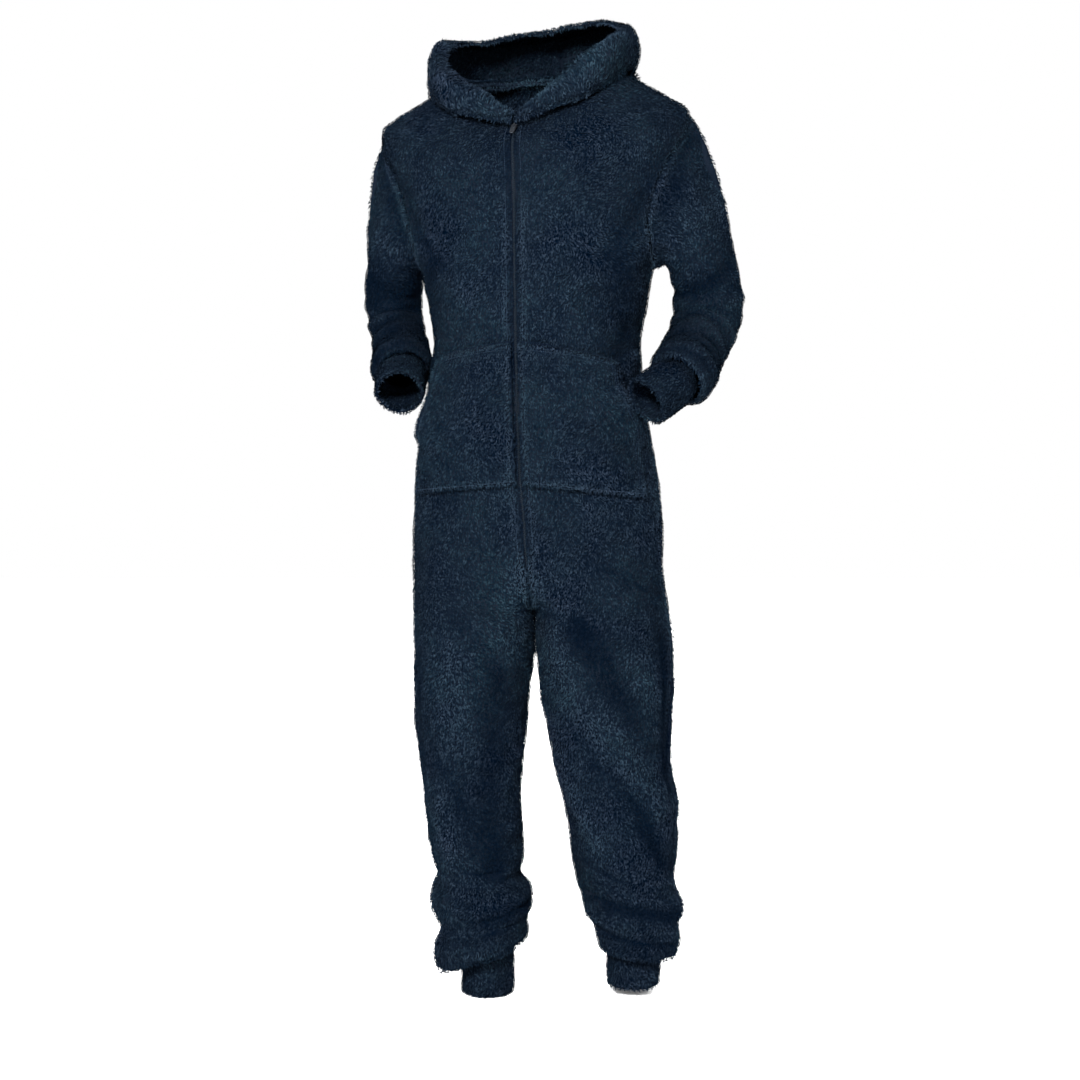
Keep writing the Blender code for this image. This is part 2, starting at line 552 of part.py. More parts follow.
def middle_shift(side, face, level):
    """How a panel's middle edge stays clear: of the zip, of the other side, of its own inseam."""
    half_gap = SEAM_GAP / 2
    sideways = np.array((*turned(side, 0.0, read(BODY, level, "turn")), 0.0))
    if level >= CROTCH_LEVEL:
        shift = across_direction(side, face, level, 0.0) * half_gap
        return shift + sideways * half_gap if level < CROTCH_LEVEL + LEGS_TOUCH else shift
    if face == "front":
        closed = smooth_step((level - ZIP_END_LEVEL) / 0.4)
        half_gap = ZIP_OPENING / 2 * (1 - closed) + half_gap * closed
    return sideways * half_gap


def panel_grids(side, face):
    """A panel's outer and inner points, a row for each ring."""
    outer = []
    inner = []
    for level in panel_levels():
        outer_row = []
        inner_row = []
        for column in range(PANEL_COLUMNS + 1):
            share = column / PANEL_COLUMNS
            point = panel_point(side, face, level, share)
            normal = outward(side, face, level, share)
            if column == 0:
                point = point + middle_shift(side, face, level)
            if column == PANEL_COLUMNS:
                point = point - across_direction(side, face, level, share) * SEAM_GAP / 2
            outer_row.append(point)
            inner_row.append(point - normal * WALL)
        outer.append(outer_row)
        inner.append(inner_row)
    return np.array(outer), np.array(inner)


def make_panels(parts, finish):
    """The two fronts and the two backs, each from shoulder to ankle."""
    grids = {}
    for name, side in SIDES.items():
        for face in ("front", "back"):
            outer, inner = panel_grids(side, face)
            wall(f"{face}_{name}", outer, inner, finish, parts)
            grids[face, name] = (outer, inner)
    return grids


# ---------------------------------------------------------------- sleeves
def armhole_levels():
    """Levels down the front of an armhole and up its back, the underarm once."""
    down = list(np.linspace(SHOULDER_LEVEL, UNDERARM_LEVEL, ARMHOLE_ROWS + 1))
    return [("front", level) for level in down] + [("back", level) for level in down[-2:0:-1]]


def armhole(side):
    """Points round an armhole, with the way the panel's cloth heads there and its outward way."""
    stops = armhole_levels()
    points = np.array([panel_point(side, face, level, 1.0) for face, level in stops])
    normals = np.array([outward(side, face, level, 1.0) for face, level in stops])
    heading = []
    count = len(points)
    for k in range(count):
        along = unit(points[(k + 1) % count] - points[k - 1])
        ahead = unit(np.cross(along, normals[k])) * -side
        heading.append(unit(ahead + outermost(side) * SHOULDER_EASE * (1 + math.cos(
            2 * math.pi * k / count)) / 2))
    return points, np.array(heading), normals


def outermost(side):
    """Level, and straight out over one shoulder."""
    turn = read(BODY, SHOULDER_LEVEL, "turn")
    return np.array((*turned(side, 0.0, turn), 0.0))


def arm_frames(name, stations):
    """Centres and axes down the arm: along it, away from the body and towards the front."""
    tab = ARM[name]
    side = SIDES[name]
    fine = np.linspace(0, 8, 161)
    centres = np.array([read(tab, s, "x", "y", "z") for s in fine])
    tangents = np.gradient(centres, axis=0)
    tangents /= np.linalg.norm(tangents, axis=1)[:, None]
    out = outermost(side)
    frames = []
    for k in range(len(fine)):
        out = unit(out - np.dot(out, tangents[k]) * tangents[k])
        frames.append(out)
    picked = []
    for s in stations:
        k = int(round(s / 8 * 160))
        forward = np.cross(tangents[k], frames[k]) * side
        picked.append((centres[k], tangents[k], frames[k], forward))
    return picked


def arm_ring(name, station, frame, count):
    """A ring of points round the arm, starting at its outer side and going by the front."""
    centre, _, out, forward = frame
    half_out, half_deep = read(ARM[name], station, "out", "deep")
    ring = []
    ways = []
    for k in range(count):
        angle = 2 * math.pi * k / count
        ring.append(centre + out * half_out * math.cos(angle) + forward * half_deep * math.sin(angle))
        ways.append(unit(out * math.cos(angle) / half_out + forward * math.sin(angle) / half_deep))
    return np.array(ring), np.array(ways)


def sleeve_rings(name):
    """A sleeve's rings: from the armhole it rounds the shoulder, then follows the arm."""
    side = SIDES[name]
    start, heading, _ = armhole(side)
    count = len(start)
    stations = (0.0, *SLEEVE_STATIONS)
    frames = arm_frames(name, stations)
    first, _ = arm_ring(name, 0.0, frames[0], count)
    along = frames[0][1]
    rings = []
    for step in range(ARM_RUN_ROWS):
        t = step / ARM_RUN_ROWS
        row = []
        for k in range(count):
            with_cloth = (1 + math.cos(2 * math.pi * k / count)) / 2
            leave = unit(heading[k] * with_cloth + along * (1 - with_cloth))
            reach = np.linalg.norm(first[k] - start[k])
            begin = start[k] + leave * SEAM_GAP * 1.5
            row.append((2 * t**3 - 3 * t**2 + 1) * begin + (t**3 - 2 * t**2 + t) * reach * leave
                       + (3 * t**2 - 2 * t**3) * first[k] + (t**3 - t**2) * reach * along)
        rings.append(row)
    rings.append(first)
    for station, frame in zip(stations[1:], frames[1:]):
        rings.append(arm_ring(name, station, frame, count)[0])
    return np.array(rings)


def ring_directions(rings):
    """The outward way at each point of a tube, from its neighbours round and along."""
    around = np.roll(rings, -1, axis=1) - np.roll(rings, 1, axis=1)
    along = np.gradient(rings, axis=0)
    ways = np.cross(around, along)
    ways /= np.linalg.norm(ways, axis=2)[:, :, None]
    middle = rings.mean(axis=1)[:, None, :]
    half = len(rings) // 2
    if np.sum(ways[half] * (rings[half] - middle[half])) < 0:
        ways = -ways
    return ways


def make_sleeves(parts, finish):
    """Both sleeves."""
    for name in SIDES:
        rings = sleeve_rings(name)
        tube_wall(f"sleeve_{name}", rings, ring_directions(rings), finish, parts)


# ---------------------------------------------------------------- cuffs
def make_wrist_cuffs(parts, finish):
    """A tube on each wrist, its near end tucked into the sleeve's mouth."""
    for name in SIDES:
        frame = arm_frames(name, (8.0,))[0]
        seam, along, out, forward = frame
        count = 16
        end = np.array(WRIST_CUFF_END[name])
        start = seam - along * WRIST_CUFF_TUCK
        rings = []
        for row in range(CUFF_ROWS + 1):
            t = row / CUFF_ROWS
            bend = (1 - t) * along + t * unit(end - seam)
            way = unit(bend)
            centre = (1 - t) * start + t * end
            lateral = unit(out - np.dot(out, way) * way)
            frontal = np.cross(way, lateral) * SIDES[name]
            radius = WRIST_CUFF_RADIUS - WRIST_CUFF_SQUEEZE[name] * (1 - smooth_step(t * 3))
            rings.append([centre + radius * (lateral * math.cos(2 * math.pi * k / count)
                                             + frontal * math.sin(2 * math.pi * k / count))
                          for k in range(count)])
        rings = np.array(rings)
        tube_wall(f"wrist_cuff_{name}", rings, ring_directions(rings), finish, parts)


def make_ankle_cuffs(parts, finish):
    """A tube on each ankle, its top tucked up inside the leg's last ring."""
    for name, side in SIDES.items():
        seam_in, seam_out, centre_x, centre_y, turn = read(
            LEG[name], ANKLE_LEVEL, "z_in", "z_out", "centre_x", "centre_y", "turn")
        count = 20
        rings = []
        for row in range(CUFF_ROWS + 1):
            t = row / CUFF_ROWS
            ring = []
            for k in range(count):
                angle = 2 * math.pi * k / count
                sine = math.sin(angle)
                top = seam_in + (seam_out - seam_in) * (1 + sine) / 2 + ANKLE_CUFF_TUCK
                z = top + (ANKLE_CUFF_BOTTOM[name] - top) * t
                radius = ANKLE_CUFF_HALF_WIDTH - ANKLE_CUFF_SQUEEZE[name] * (1 - smooth_step(t * 2.2))
                x, y = turned(side * radius * sine, radius * math.cos(angle), turn)
                ring.append((centre_x + x, centre_y + y, z))
            rings.append(ring)
        rings = np.array(rings)
        tube_wall(f"ankle_cuff_{name}", rings, ring_directions(rings), finish, parts)


# ---------------------------------------------------------------- hood
def along_curve(points, count):
    """Evenly spaced points on a smooth curve through the given ones."""
    points = np.array(points)
    lengths = np.concatenate(([0], np.cumsum(np.linalg.norm(np.diff(points, axis=0), axis=1))))
    fine = np.linspace(0, lengths[-1], 161)
    curve = np.array([[read({"at": lengths, "v": points[:, axis]}, s, "v") for axis in range(3)]
                      for s in fine])
    walked = np.concatenate(([0], np.cumsum(np.linalg.norm(np.diff(curve, axis=0), axis=1))))
    wanted = np.linspace(0, walked[-1], count)
    return np.array([[np.interp(s, walked, curve[:, axis]) for axis in range(3)] for s in wanted])


def hood_profile(side, angle):
    """The hood's cloth in one upright slice, from the neckline seam to its face edge."""
    shape = HOOD["left" if side > 0 else "right"]
    reach, bearing = read(shape, angle, "reach_level", "bearing")
    face = "front" if angle <= 90 else "back"
    share = angle / 90 if face == "front" else (180 - angle) / 90
    turn = read(BODY, 0, "turn")
    x, y = turned(side * math.sin(math.radians(bearing)), math.cos(math.radians(bearing)), turn)
    away = np.array((x, y, 0.0))
    seam = body_ring(side, 0, angle)
    points = []
    steps = 6
    for k in range(steps + 1):
        level = reach * k / steps
        edge = read(FRONT_EDGE if face == "front" else BACK_EDGE, level, "angle")
        part = angle / edge if face == "front" else (180 - angle) / (180 - edge)
        part = min(part, 1.0)
        lift = SEAM_GAP + HOOD_UNDER_LIFT * smooth_step(3 * k / steps)
        points.append(panel_point(side, face, level, part) + outward(side, face, level, part) * lift)
    for stop in ("turn", "wide", "high", "top", "edge"):
        out, up = read(shape, angle, f"{stop}_out", f"{stop}_up")
        points.append(seam + away * out + np.array((0, 0, up)))
    return along_curve(points, HOOD_ROWS + 1)


def make_hood(parts, finish):
    """The hood's two sides, joined down the middle of the back."""
    for name, side in SIDES.items():
        angles = np.linspace(0, 180, HOOD_COLUMNS + 1)
        grid = np.array([hood_profile(side, angle) for angle in angles]).transpose(1, 0, 2)
        mirror = np.array([hood_profile(-side, angles[-2])])[0]
        across = np.gradient(grid, axis=1)
        across[:, -1] = (mirror - grid[:, -2]) / 2
        down = np.gradient(grid, axis=0)
        ways = np.cross(across, down)
        ways /= np.linalg.norm(ways, axis=2)[:, :, None]
        if side < 0:
            ways = -ways
        turn = read(BODY, 0, "turn")
        lateral = np.array((*turned(side, 0.0, turn), 0.0))
        grid[:, -1] += lateral * SEAM_GAP / 2
        grid[:, 0] += lateral * (ZIP_OPENING / 2)
        wall(f"hood_{name}", grid, grid - ways * WALL, finish, parts)


# ---------------------------------------------------------------- pocket
def level_at_height(height):
    """The level whose ring lies at a height, between the chest and the hips."""
    levels = np.linspace(10, 15, 201)
    heights = np.array([read(BODY, level, "z_front") for level in levels])
    return float(np.interp(-height, -heights, levels))


def pocket_lift(share, drop):
    """How far the pocket stands off: nothing along its sewn edges, open at its mouth."""
    upright = math.sin(math.pi * min(max(drop, 0.0), 1.0)) ** 0.7
    from_zip = smooth_step(share / 0.40)
    sewn_side = smooth_step((drop - POCKET_MOUTH_END) / 0.12)
    to_side = 1 - sewn_side * smooth_step((share - 0.55) / 0.45)
    return POCKET_FULLNESS * upright * from_zip * to_side


def make_pocket(parts, finish):
    """The pocket's two halves, each sewn down but for its slanted mouth."""
    for name, side in SIDES.items():
        outer = []
        inner = []
        for row in range(POCKET_ROWS + 1):
            drop = row / POCKET_ROWS
            reach = read(POCKET_EDGE[name], drop, "angle")
            outer_row = []
            inner_row = []
            middle = 0.5 * (POCKET_TOP_AT_ZIP + POCKET_BOTTOM_AT_ZIP)
            column_angle = read(FRONT_EDGE, level_at_height(middle), "angle") / PANEL_COLUMNS
            whole = int(reach // column_angle)
            angles = [k * column_angle for k in range(whole)] + [reach]
            angles = np.interp(np.linspace(0, 1, 8), np.linspace(0, 1, len(angles)), angles)
            for angle in angles:
                share = angle / reach
                top = POCKET_TOP_AT_ZIP + (POCKET_TOP_AT_MOUTH - POCKET_TOP_AT_ZIP) * share**1.6
                bottom = POCKET_BOTTOM_AT_ZIP + (POCKET_BOTTOM_AT_SIDE - POCKET_BOTTOM_AT_ZIP) * share
                level = level_at_height(top + (bottom - top) * drop)
                part = angle / read(FRONT_EDGE, level, "angle")
                point = panel_point(side, "front", level, part)
                way = outward(side, "front", level, part)
                if angle == 0:
                    along = across_direction(side, "front", level, part)
                    point = point + along * (ZIP_OPENING / 2 + POCKET_ZIP_MARGIN)
                lift = PATCH_SEAT + pocket_lift(share, drop)
                outer_row.append(point + way * (lift + WALL))
                inner_row.append(point + way * lift)
            outer.append(outer_row)
            inner.append(inner_row)
        wall(f"pocket_{name}", np.array(outer), np.array(inner), finish, parts)


# ---------------------------------------------------------------- zip
def zip_rows(grids):
    """Down the zip: the middle of the opening on the cloth's face, with its axes and the
    insides of both fronts."""
    left_outer, left_inner = grids["front", "left"]
    right_outer, right_inner = grids["front", "right"]
    rows = []
    for row, level in enumerate(panel_levels()):
        if level > ZIP_END_LEVEL:
            break
        middle = (left_outer[row, 0] + right_outer[row, 0]) / 2
        across = unit(left_outer[row, 0] - right_outer[row, 0])
        depth = (left_inner[row, 0] + right_inner[row, 0]) / 2 - middle
        rows.append({"middle": middle, "across": across, "in": unit(depth),
                     "left": (left_inner[row, 0], left_inner[row, 1]),
                     "right": (right_inner[row, 0], right_inner[row, 1])})
    return rows


def strip(name, sections, finish, parts):
    """A solid strip through four-cornered sections, closed at both ends."""
    vertices = [corner for section in sections for corner in section]
    faces = [(0, 1, 2, 3), tuple(4 * (len(sections) - 1) + k for k in (3, 2, 1, 0))]
    for row in range(len(sections) - 1):
        for k in range(4):
            a = 4 * row + k
            b = 4 * row + (k + 1) % 4
            faces.append((a, b, b + 4, a + 4))
    return add_mesh(name, vertices, faces, finish, parts)


def make_zip_tapes(grids, parts, finish):
    """A tape behind each front's zip edge."""
    rows = zip_rows(grids)
    for name, side in SIDES.items():
        sections = []
        for row in rows:
            edge, beside = row[name]
            along = unit(beside - edge)
            near = row["middle"] + row["in"] * (WALL + TAPE_SEAT) + row["across"] * side * SEAM_GAP / 2
            far = edge + along * TAPE_WIDTH + row["in"] * TAPE_SEAT
            sections.append([near, far, far + row["in"] * TAPE_THICKNESS,
                             near + row["in"] * TAPE_THICKNESS])
        strip(f"zip_tape_{name}", sections, finish, parts)


def make_zip_chain(grids, parts, finish):
    """The closed coil, a bead down the opening in front of the tapes."""
    sections = []
    for row in zip_rows(grids):
        back = row["middle"] + row["in"] * WALL
        front = back - row["in"] * CHAIN_THICKNESS
        half = row["across"] * CHAIN_WIDTH / 2
        sections.append([back - half, back + half, front + half, front - half])
    strip("zip_chain", sections, finish, parts)


def slider_frame(grids):
    """The slider's place on the zip: +X across, +Y up along the zip, +Z out from the cloth."""
    rows = zip_rows(grids)
    first = rows[0]["middle"]
    second = rows[1]["middle"]
    down = unit(second - first)
    across = unit(rows[0]["across"])
    across = unit(across - np.dot(across, down) * down)
    out = np.cross(across, -down)
    origin = first + down * SLIDER_DROP
    return Matrix(((across[0], -down[0], out[0], origin[0]),
                   (across[1], -down[1], out[1], origin[1]),
                   (across[2], -down[2], out[2], origin[2]),
                   (0, 0, 0, 1)))


def box(name, size, centre, group):
    """A block with its scale applied, in the slider's own frame."""
    bpy.ops.mesh.primitive_cube_add(size=1.0, location=(0, 0, 0))
    made = bpy.context.object
    made.name = name
    made.data.transform(Matrix.Translation(centre) @ Matrix.Diagonal((*size, 1.0)))
    for other in list(made.users_collection):
        other.objects.unlink(made)
    group.objects.link(made)
    return made


def hide_tool(made):
    """Mark a block as a tool that other blocks are joined with or cut by."""
    made.hide_render = True
    made.display_type = "WIRE"


def boolean(target, tool, operation):
    """Join a tool to a target, or cut it out."""
    modifier = target.modifiers.new(tool.name, "BOOLEAN")
    modifier.operation = operation
    modifier.object = tool
    modifier.solver = "EXACT"


def make_slider(grids, parts, tools, finish):
    """The slider: a plate on the pile, a neck down to the coil and a bridge over the pull."""
    frame = slider_frame(grids)
    plate_low = SLIDER_STAND_OFF
    slider = box("zip_slider", (SLIDER_WIDTH, SLIDER_LENGTH, SLIDER_PLATE),
                 (0, 0, plate_low + SLIDER_PLATE / 2), parts)
    neck_depth = WALL - CHAIN_THICKNESS - SEAM_GAP + plate_low
    neck = box("slider_neck", (SLIDER_NECK_WIDTH, SLIDER_LENGTH * 0.9, neck_depth + SLIDER_PLATE / 2),
               (0, 0, plate_low - neck_depth / 2 + SLIDER_PLATE / 4), tools)
    bridge_top = plate_low + SLIDER_PLATE + BRIDGE_CLEARANCE + BRIDGE_THICKNESS
    bridge_low = plate_low + SLIDER_PLATE / 2
    bridge = box("slider_bridge", (BRIDGE_WIDTH, BRIDGE_LENGTH, bridge_top - bridge_low),
                 (0, 0, (bridge_top + bridge_low) / 2), tools)
    window = box("slider_window", (BRIDGE_WIDTH * 3, BRIDGE_LENGTH - 2 * BRIDGE_THICKNESS,
                                   BRIDGE_CLEARANCE),
                 (0, 0, plate_low + SLIDER_PLATE + BRIDGE_CLEARANCE / 2), tools)
    for tool, operation in ((neck, "UNION"), (bridge, "UNION"), (window, "DIFFERENCE")):
        boolean(slider, tool, operation)
        tool.matrix_world = frame
        hide_tool(tool)
    slider.matrix_world = frame
    slider.data.materials.append(finish)
    return frame


def make_pull(frame, parts, finish):
    """The pull tab: a bar under the bridge, two arms beside it and a tab with a round hole."""
    lift = SLIDER_STAND_OFF + SLIDER_PLATE + BRIDGE_CLEARANCE / 2
    hinge_up = BRIDGE_LENGTH / 2 - BRIDGE_THICKNESS - PULL_BAR / 2 - PULL_PLAY
    hinge = frame @ Matrix.Translation((0, hinge_up, lift))
    outline = bpy.data.curves.new("zip_pull", "CURVE")
    outline.dimensions = "2D"
    outline.fill_mode = "BOTH"
    outline.extrude = PULL_THICKNESS / 2
    half = PULL_WIDTH / 2
    tip = PULL_LENGTH - half
    loops = [[(-half + 0.0008, PULL_BAR / 2), (half - 0.0008, PULL_BAR / 2), (half, PULL_BAR / 2 - 0.0008)]
             + [(half * math.cos(a), -tip - half * math.sin(a))
                for a in np.linspace(0, math.pi, 13)] + [(-half, PULL_BAR / 2 - 0.0008)]]
    slot_top = -PULL_BAR / 2
    slot_half = PULL_SLOT_WIDTH / 2
    loops.append([(-slot_half, slot_top), (slot_half, slot_top),
                  (slot_half, slot_top - PULL_SLOT_LENGTH), (-slot_half, slot_top - PULL_SLOT_LENGTH)])
    hole_y = -(PULL_LENGTH - PULL_HOLE_FROM_END)
    loops.append([(PULL_HOLE_RADIUS * math.cos(a), hole_y + PULL_HOLE_RADIUS * math.sin(a))
                  for a in np.linspace(0, 2 * math.pi, 17)[:-1]])
    for loop in loops:
        spline = outline.splines.new("POLY")
        spline.points.add(len(loop) - 1)
        spline.use_cyclic_u = True
        for point, (x, y) in zip(spline.points, loop):
            point.co = (x, y, 0, 1)
    pull = bpy.data.objects.new("zip_pull", outline)
    parts.objects.link(pull)
    pull.data.materials.append(finish)
    pull.matrix_world = hinge
    return hinge


def main():
    """Clear the scene and make every piece."""
    for made in list(bpy.data.objects):
        bpy.data.objects.remove(made, do_unlink=True)
    parts = collection("onesie_pajama")
    tools = collection("cutters")
    fleece = material("fleece", CLOTH, 0.95)
    cuff = material("cuff_fleece", CUFF_CLOTH, 0.95)
    zip_cloth = material("zip_cloth", ZIP_CLOTH, 0.7)
    zip_metal = material("zip_metal", ZIP_METAL, 0.35, 0.9)
    grids = make_panels(parts, fleece)
    make_sleeves(parts, fleece)
    make_wrist_cuffs(parts, cuff)
    make_ankle_cuffs(parts, cuff)
    make_hood(parts, fleece)
    make_pocket(parts, fleece)
    make_zip_tapes(grids, parts, zip_cloth)
    make_zip_chain(grids, parts, zip_cloth)
    frame = make_slider(grids, parts, tools, zip_metal)
    hinge = make_pull(frame, parts, zip_metal)
    axis = hinge.to_3x3() @ Vector((-1, 0, 0))
    print("pull hinge at", tuple(hinge.translation), "axis", tuple(axis))


main()
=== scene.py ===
"""Hooded onesie pajama in long-pile fleece: the visible garment on its fixed frame.

Each sewn piece is a thin shell of cloth on its solid's form, with its creases, and a pile of
combed tufts that grows from it. The zip has a coil of its own, woven tapes and stitches.
"""

import json
import logging
import math
from dataclasses import dataclass, field
from enum import Enum
from typing import Sequence

import bpy
import numpy as np
from bpy.types import Material, NodeSocket, Object
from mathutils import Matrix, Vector

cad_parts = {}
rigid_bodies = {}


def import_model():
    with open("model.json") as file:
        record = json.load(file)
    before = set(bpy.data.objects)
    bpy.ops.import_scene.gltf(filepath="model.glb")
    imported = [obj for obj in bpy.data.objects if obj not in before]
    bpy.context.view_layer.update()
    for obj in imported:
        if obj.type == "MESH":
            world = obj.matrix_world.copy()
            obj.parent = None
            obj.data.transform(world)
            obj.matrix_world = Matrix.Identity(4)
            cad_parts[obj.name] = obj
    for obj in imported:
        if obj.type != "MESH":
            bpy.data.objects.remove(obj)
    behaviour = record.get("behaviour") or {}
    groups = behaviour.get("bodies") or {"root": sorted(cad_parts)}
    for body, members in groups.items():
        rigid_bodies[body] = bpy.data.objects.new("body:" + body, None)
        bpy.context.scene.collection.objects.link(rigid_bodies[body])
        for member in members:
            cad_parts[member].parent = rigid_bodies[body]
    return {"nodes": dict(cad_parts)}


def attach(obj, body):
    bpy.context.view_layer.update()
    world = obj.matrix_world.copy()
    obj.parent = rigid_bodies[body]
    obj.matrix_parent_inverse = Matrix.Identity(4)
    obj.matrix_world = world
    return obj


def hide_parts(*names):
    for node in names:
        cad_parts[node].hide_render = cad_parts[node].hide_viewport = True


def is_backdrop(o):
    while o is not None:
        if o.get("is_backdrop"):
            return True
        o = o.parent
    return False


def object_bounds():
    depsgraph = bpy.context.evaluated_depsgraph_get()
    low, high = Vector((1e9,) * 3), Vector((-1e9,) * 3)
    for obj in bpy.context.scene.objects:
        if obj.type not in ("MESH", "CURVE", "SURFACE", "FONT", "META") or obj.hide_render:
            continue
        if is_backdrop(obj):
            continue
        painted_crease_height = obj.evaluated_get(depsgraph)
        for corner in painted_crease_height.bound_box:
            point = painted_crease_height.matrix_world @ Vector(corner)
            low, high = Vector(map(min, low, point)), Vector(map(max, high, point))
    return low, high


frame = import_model()

Array = np.ndarray
Triple = tuple[float, float, float]
norm = np.linalg.norm
log = logging.getLogger("onesie")

# ---- sizes shared with the solids
WALL = 0.0055
PILE_DEPTH = 0.0034         # of the wall, how much is pile; the rest is knitted ground
GROUND_MIDDLE = (PILE_DEPTH + WALL) / 2
SEAM_GAP = 0.0003
ZIP_OPENING = 0.0050
ZIP_END_LEVEL = 15.35       # where the zip stops above the crotch
PATCH_SEAT = 0.0022         # from a panel's face to a patch sewn on it
STITCH_LINE = 0.0105        # of the stitches beside the zip, from the cloth's edge
POCKET_TOP_STITCH = 0.0145  # of the stitches at the pocket's top, and so on, from its edges
POCKET_MOUTH_STITCH = 0.0150
POCKET_BOTTOM_STITCH = 0.0060
CREASE_LEVEL_PITCH = 0.045  # how far one level carries along the cloth
CREASE_RADIUS = 0.090       # turns a fold's degrees into metres
SHOULDER_LEVEL = 3.0
UNDERARM_LEVEL = 9.0
HIP_LEVEL = 14.0
CROTCH_LEVEL = 18.0
LEGS_TOUCH = 1.6
ANKLE_LEVEL = 32.0
SHOULDER_EASE = 0.15        # how much a sleeve's head stands out over the shoulder point
ARMHOLE_STATION = -3.0      # of a sleeve, whose arm runs from station 0 to 8
SIDES = {"left": 1, "right": -1}   # the wearer's
MM = 1000.0                 # to a metre: the tables are in millimetres, degrees and levels,
                            # and BODY's lean in millimetres of rise for each metre across
ROOT = "garment"


class Face(Enum):
    """Which of the body's two panels."""
    FRONT = "front"
    BACK = "back"


def smooth_step(value: Array) -> Array:
    """0 below 0, 1 above 1, and a soft rise between."""
    t = np.clip(value, 0.0, 1.0)
    return t * t * (3 - 2 * t)


def walk(points: Array) -> Array:
    """How far along a line of points each one lies."""
    return np.concatenate(([0], np.cumsum(norm(np.diff(points, axis=0), axis=1))))


def read_along(at: Array, lengths: Array, vectors: Array) -> Array:
    """The vectors of a walked line, read at places along it."""
    return np.stack([np.interp(at, lengths, vectors[:, k]) for k in range(3)], axis=-1)


def unit(vectors: Array) -> Array:
    """The same directions, one metre long."""
    return vectors / np.maximum(norm(vectors, axis=-1, keepdims=True), 1e-12)


def rounded(value: Array, roundness: float) -> Array:
    """A sine or cosine raised so that a ring is fuller at its corners."""
    return np.sign(value) * np.abs(value) ** roundness


def turned(across: Array, forward: Array, turn: Array) -> tuple[Array, Array]:
    """The x and y of a step to the wearer's left and front, once turned to their right."""
    angle = np.radians(turn)
    return (across * np.cos(angle) - forward * np.sin(angle),
            -across * np.sin(angle) - forward * np.cos(angle))


class Section:
    """A short table of sections, read smoothly between its rows."""

    COUNTS = ("level", "station", "angle", "share", "turn", "reach", "bearing", "drop")

    def __init__(self, columns: str, rows: Sequence[tuple], scale: float = 1.0) -> None:
        """Reads the table.

        Args:
            columns: names, the key first.
            rows: one for each section.
            scale: how many of the rows' units make a metre, in the columns that aren't counts.
        """
        data = np.array(rows, float)
        self.keys = data[:, 0]
        self.columns = {name: data[:, k] / (1.0 if name in self.COUNTS else scale)
                        for k, name in enumerate(columns.split())}
        self.slopes = {name: self._slopes(v) for name, v in self.columns.items()}

    def _slopes(self, values: Array) -> Array:
        """Slopes that don't bulge past any row.

        Args:
            values: a column.
        Returns:
            Its slope at each row.
        """
        step = np.diff(self.keys)
        rise = np.diff(values) / step
        slope = np.zeros(len(values))
        slope[0], slope[-1] = rise[0], rise[-1]
        for k in range(1, len(values) - 1):
            if rise[k - 1] * rise[k] > 0:
                near, far = 2 * step[k] + step[k - 1], step[k] + 2 * step[k - 1]
                slope[k] = (near + far) / (near / rise[k - 1] + far / rise[k])
        return slope

    def at(self, where: Array, *names: str) -> Array | list[Array]:
        """The named columns at places between the rows.

        Args:
            where: keys to read at.
            names: columns to read.
        Returns:
            One array, or a list with one for each name.
        """
        place = np.clip(np.asarray(where, float), self.keys[0], self.keys[-1])
        k = np.clip(np.searchsorted(self.keys, place, side="right") - 1, 0, len(self.keys) - 2)
        width = self.keys[k + 1] - self.keys[k]
        t = (place - self.keys[k]) / width
        found = []
        for name in names:
            v, s = self.columns[name], self.slopes[name]
            found.append((2 * t**3 - 3 * t**2 + 1) * v[k] + (t**3 - 2 * t**2 + t) * width * s[k]
                         + (3 * t**2 - 2 * t**3) * v[k + 1] + (t**3 - t**2) * width * s[k + 1])
        return found[0] if len(found) == 1 else found


BODY = Section(
    "level z_front z_side z_back half_width front_depth back_depth centre_x centre_y turn lean", [
    (0, -40, 44, 50, 112, 94, 78, 2, 4, 15, 80), (1, -54, 36, 40, 150, 112, 98, 3, 3, 15, 70),
    (2, -74, 7, 14, 206, 128, 118, 5, 2, 15, 45), (3, -100, -28, -20, 257, 138, 130, 8, 0, 15, 33),
    (4, -128, -58, -54, 261, 142, 134, 10, 0, 15, 28),
    (5, -156, -94, -93, 251, 144, 135, 11, 0, 15, 22),
    (6, -184, -135, -134, 238, 145, 134, 12, 0, 15, 16),
    (7, -214, -179, -178, 224, 145, 132, 12, 0, 15, 10),
    (8, -245, -224, -224, 209, 144, 129, 12, 0, 15, 5),
    (9, -279, -268, -268, 196, 142, 125, 12, 0, 15, 0),
    (10, -325, -325, -325, 186, 140, 120, 12, 1, 15, 0),
    (11, -385, -385, -385, 179, 138, 116, 12, 2, 15, 0),
    (12, -450, -450, -450, 180, 136, 120, 11, 2, 14, 0),
    (13, -525, -525, -525, 190, 134, 132, 10, 0, 13, 0),
    (14, -605, -605, -605, 203, 132, 144, 11, 0, 12, 0),
    (15, -690, -680, -690, 210, 128, 150, 13, 0, 10, 0),
    (16, -784, -740, -784, 213, 122, 146, 13, 0, 9, 0),
    (17, -866, -790, -866, 215, 116, 140, 13, 0, 8, 0),
    (18, -900, -840, -900, 216, 112, 136, 13, 0, 7, 0)], MM)
BODY_ROUNDNESS = 0.90
FORK = Section("level share", [(14, 0.0), (15, 0.0), (16, 0.18), (17, 0.55), (18, 1.0), (32, 1.0)])
UNDER_THE_ARM = [(9, 88), (10, 87), (12, 84), (15, 80), (18, 74), (32, 72)]
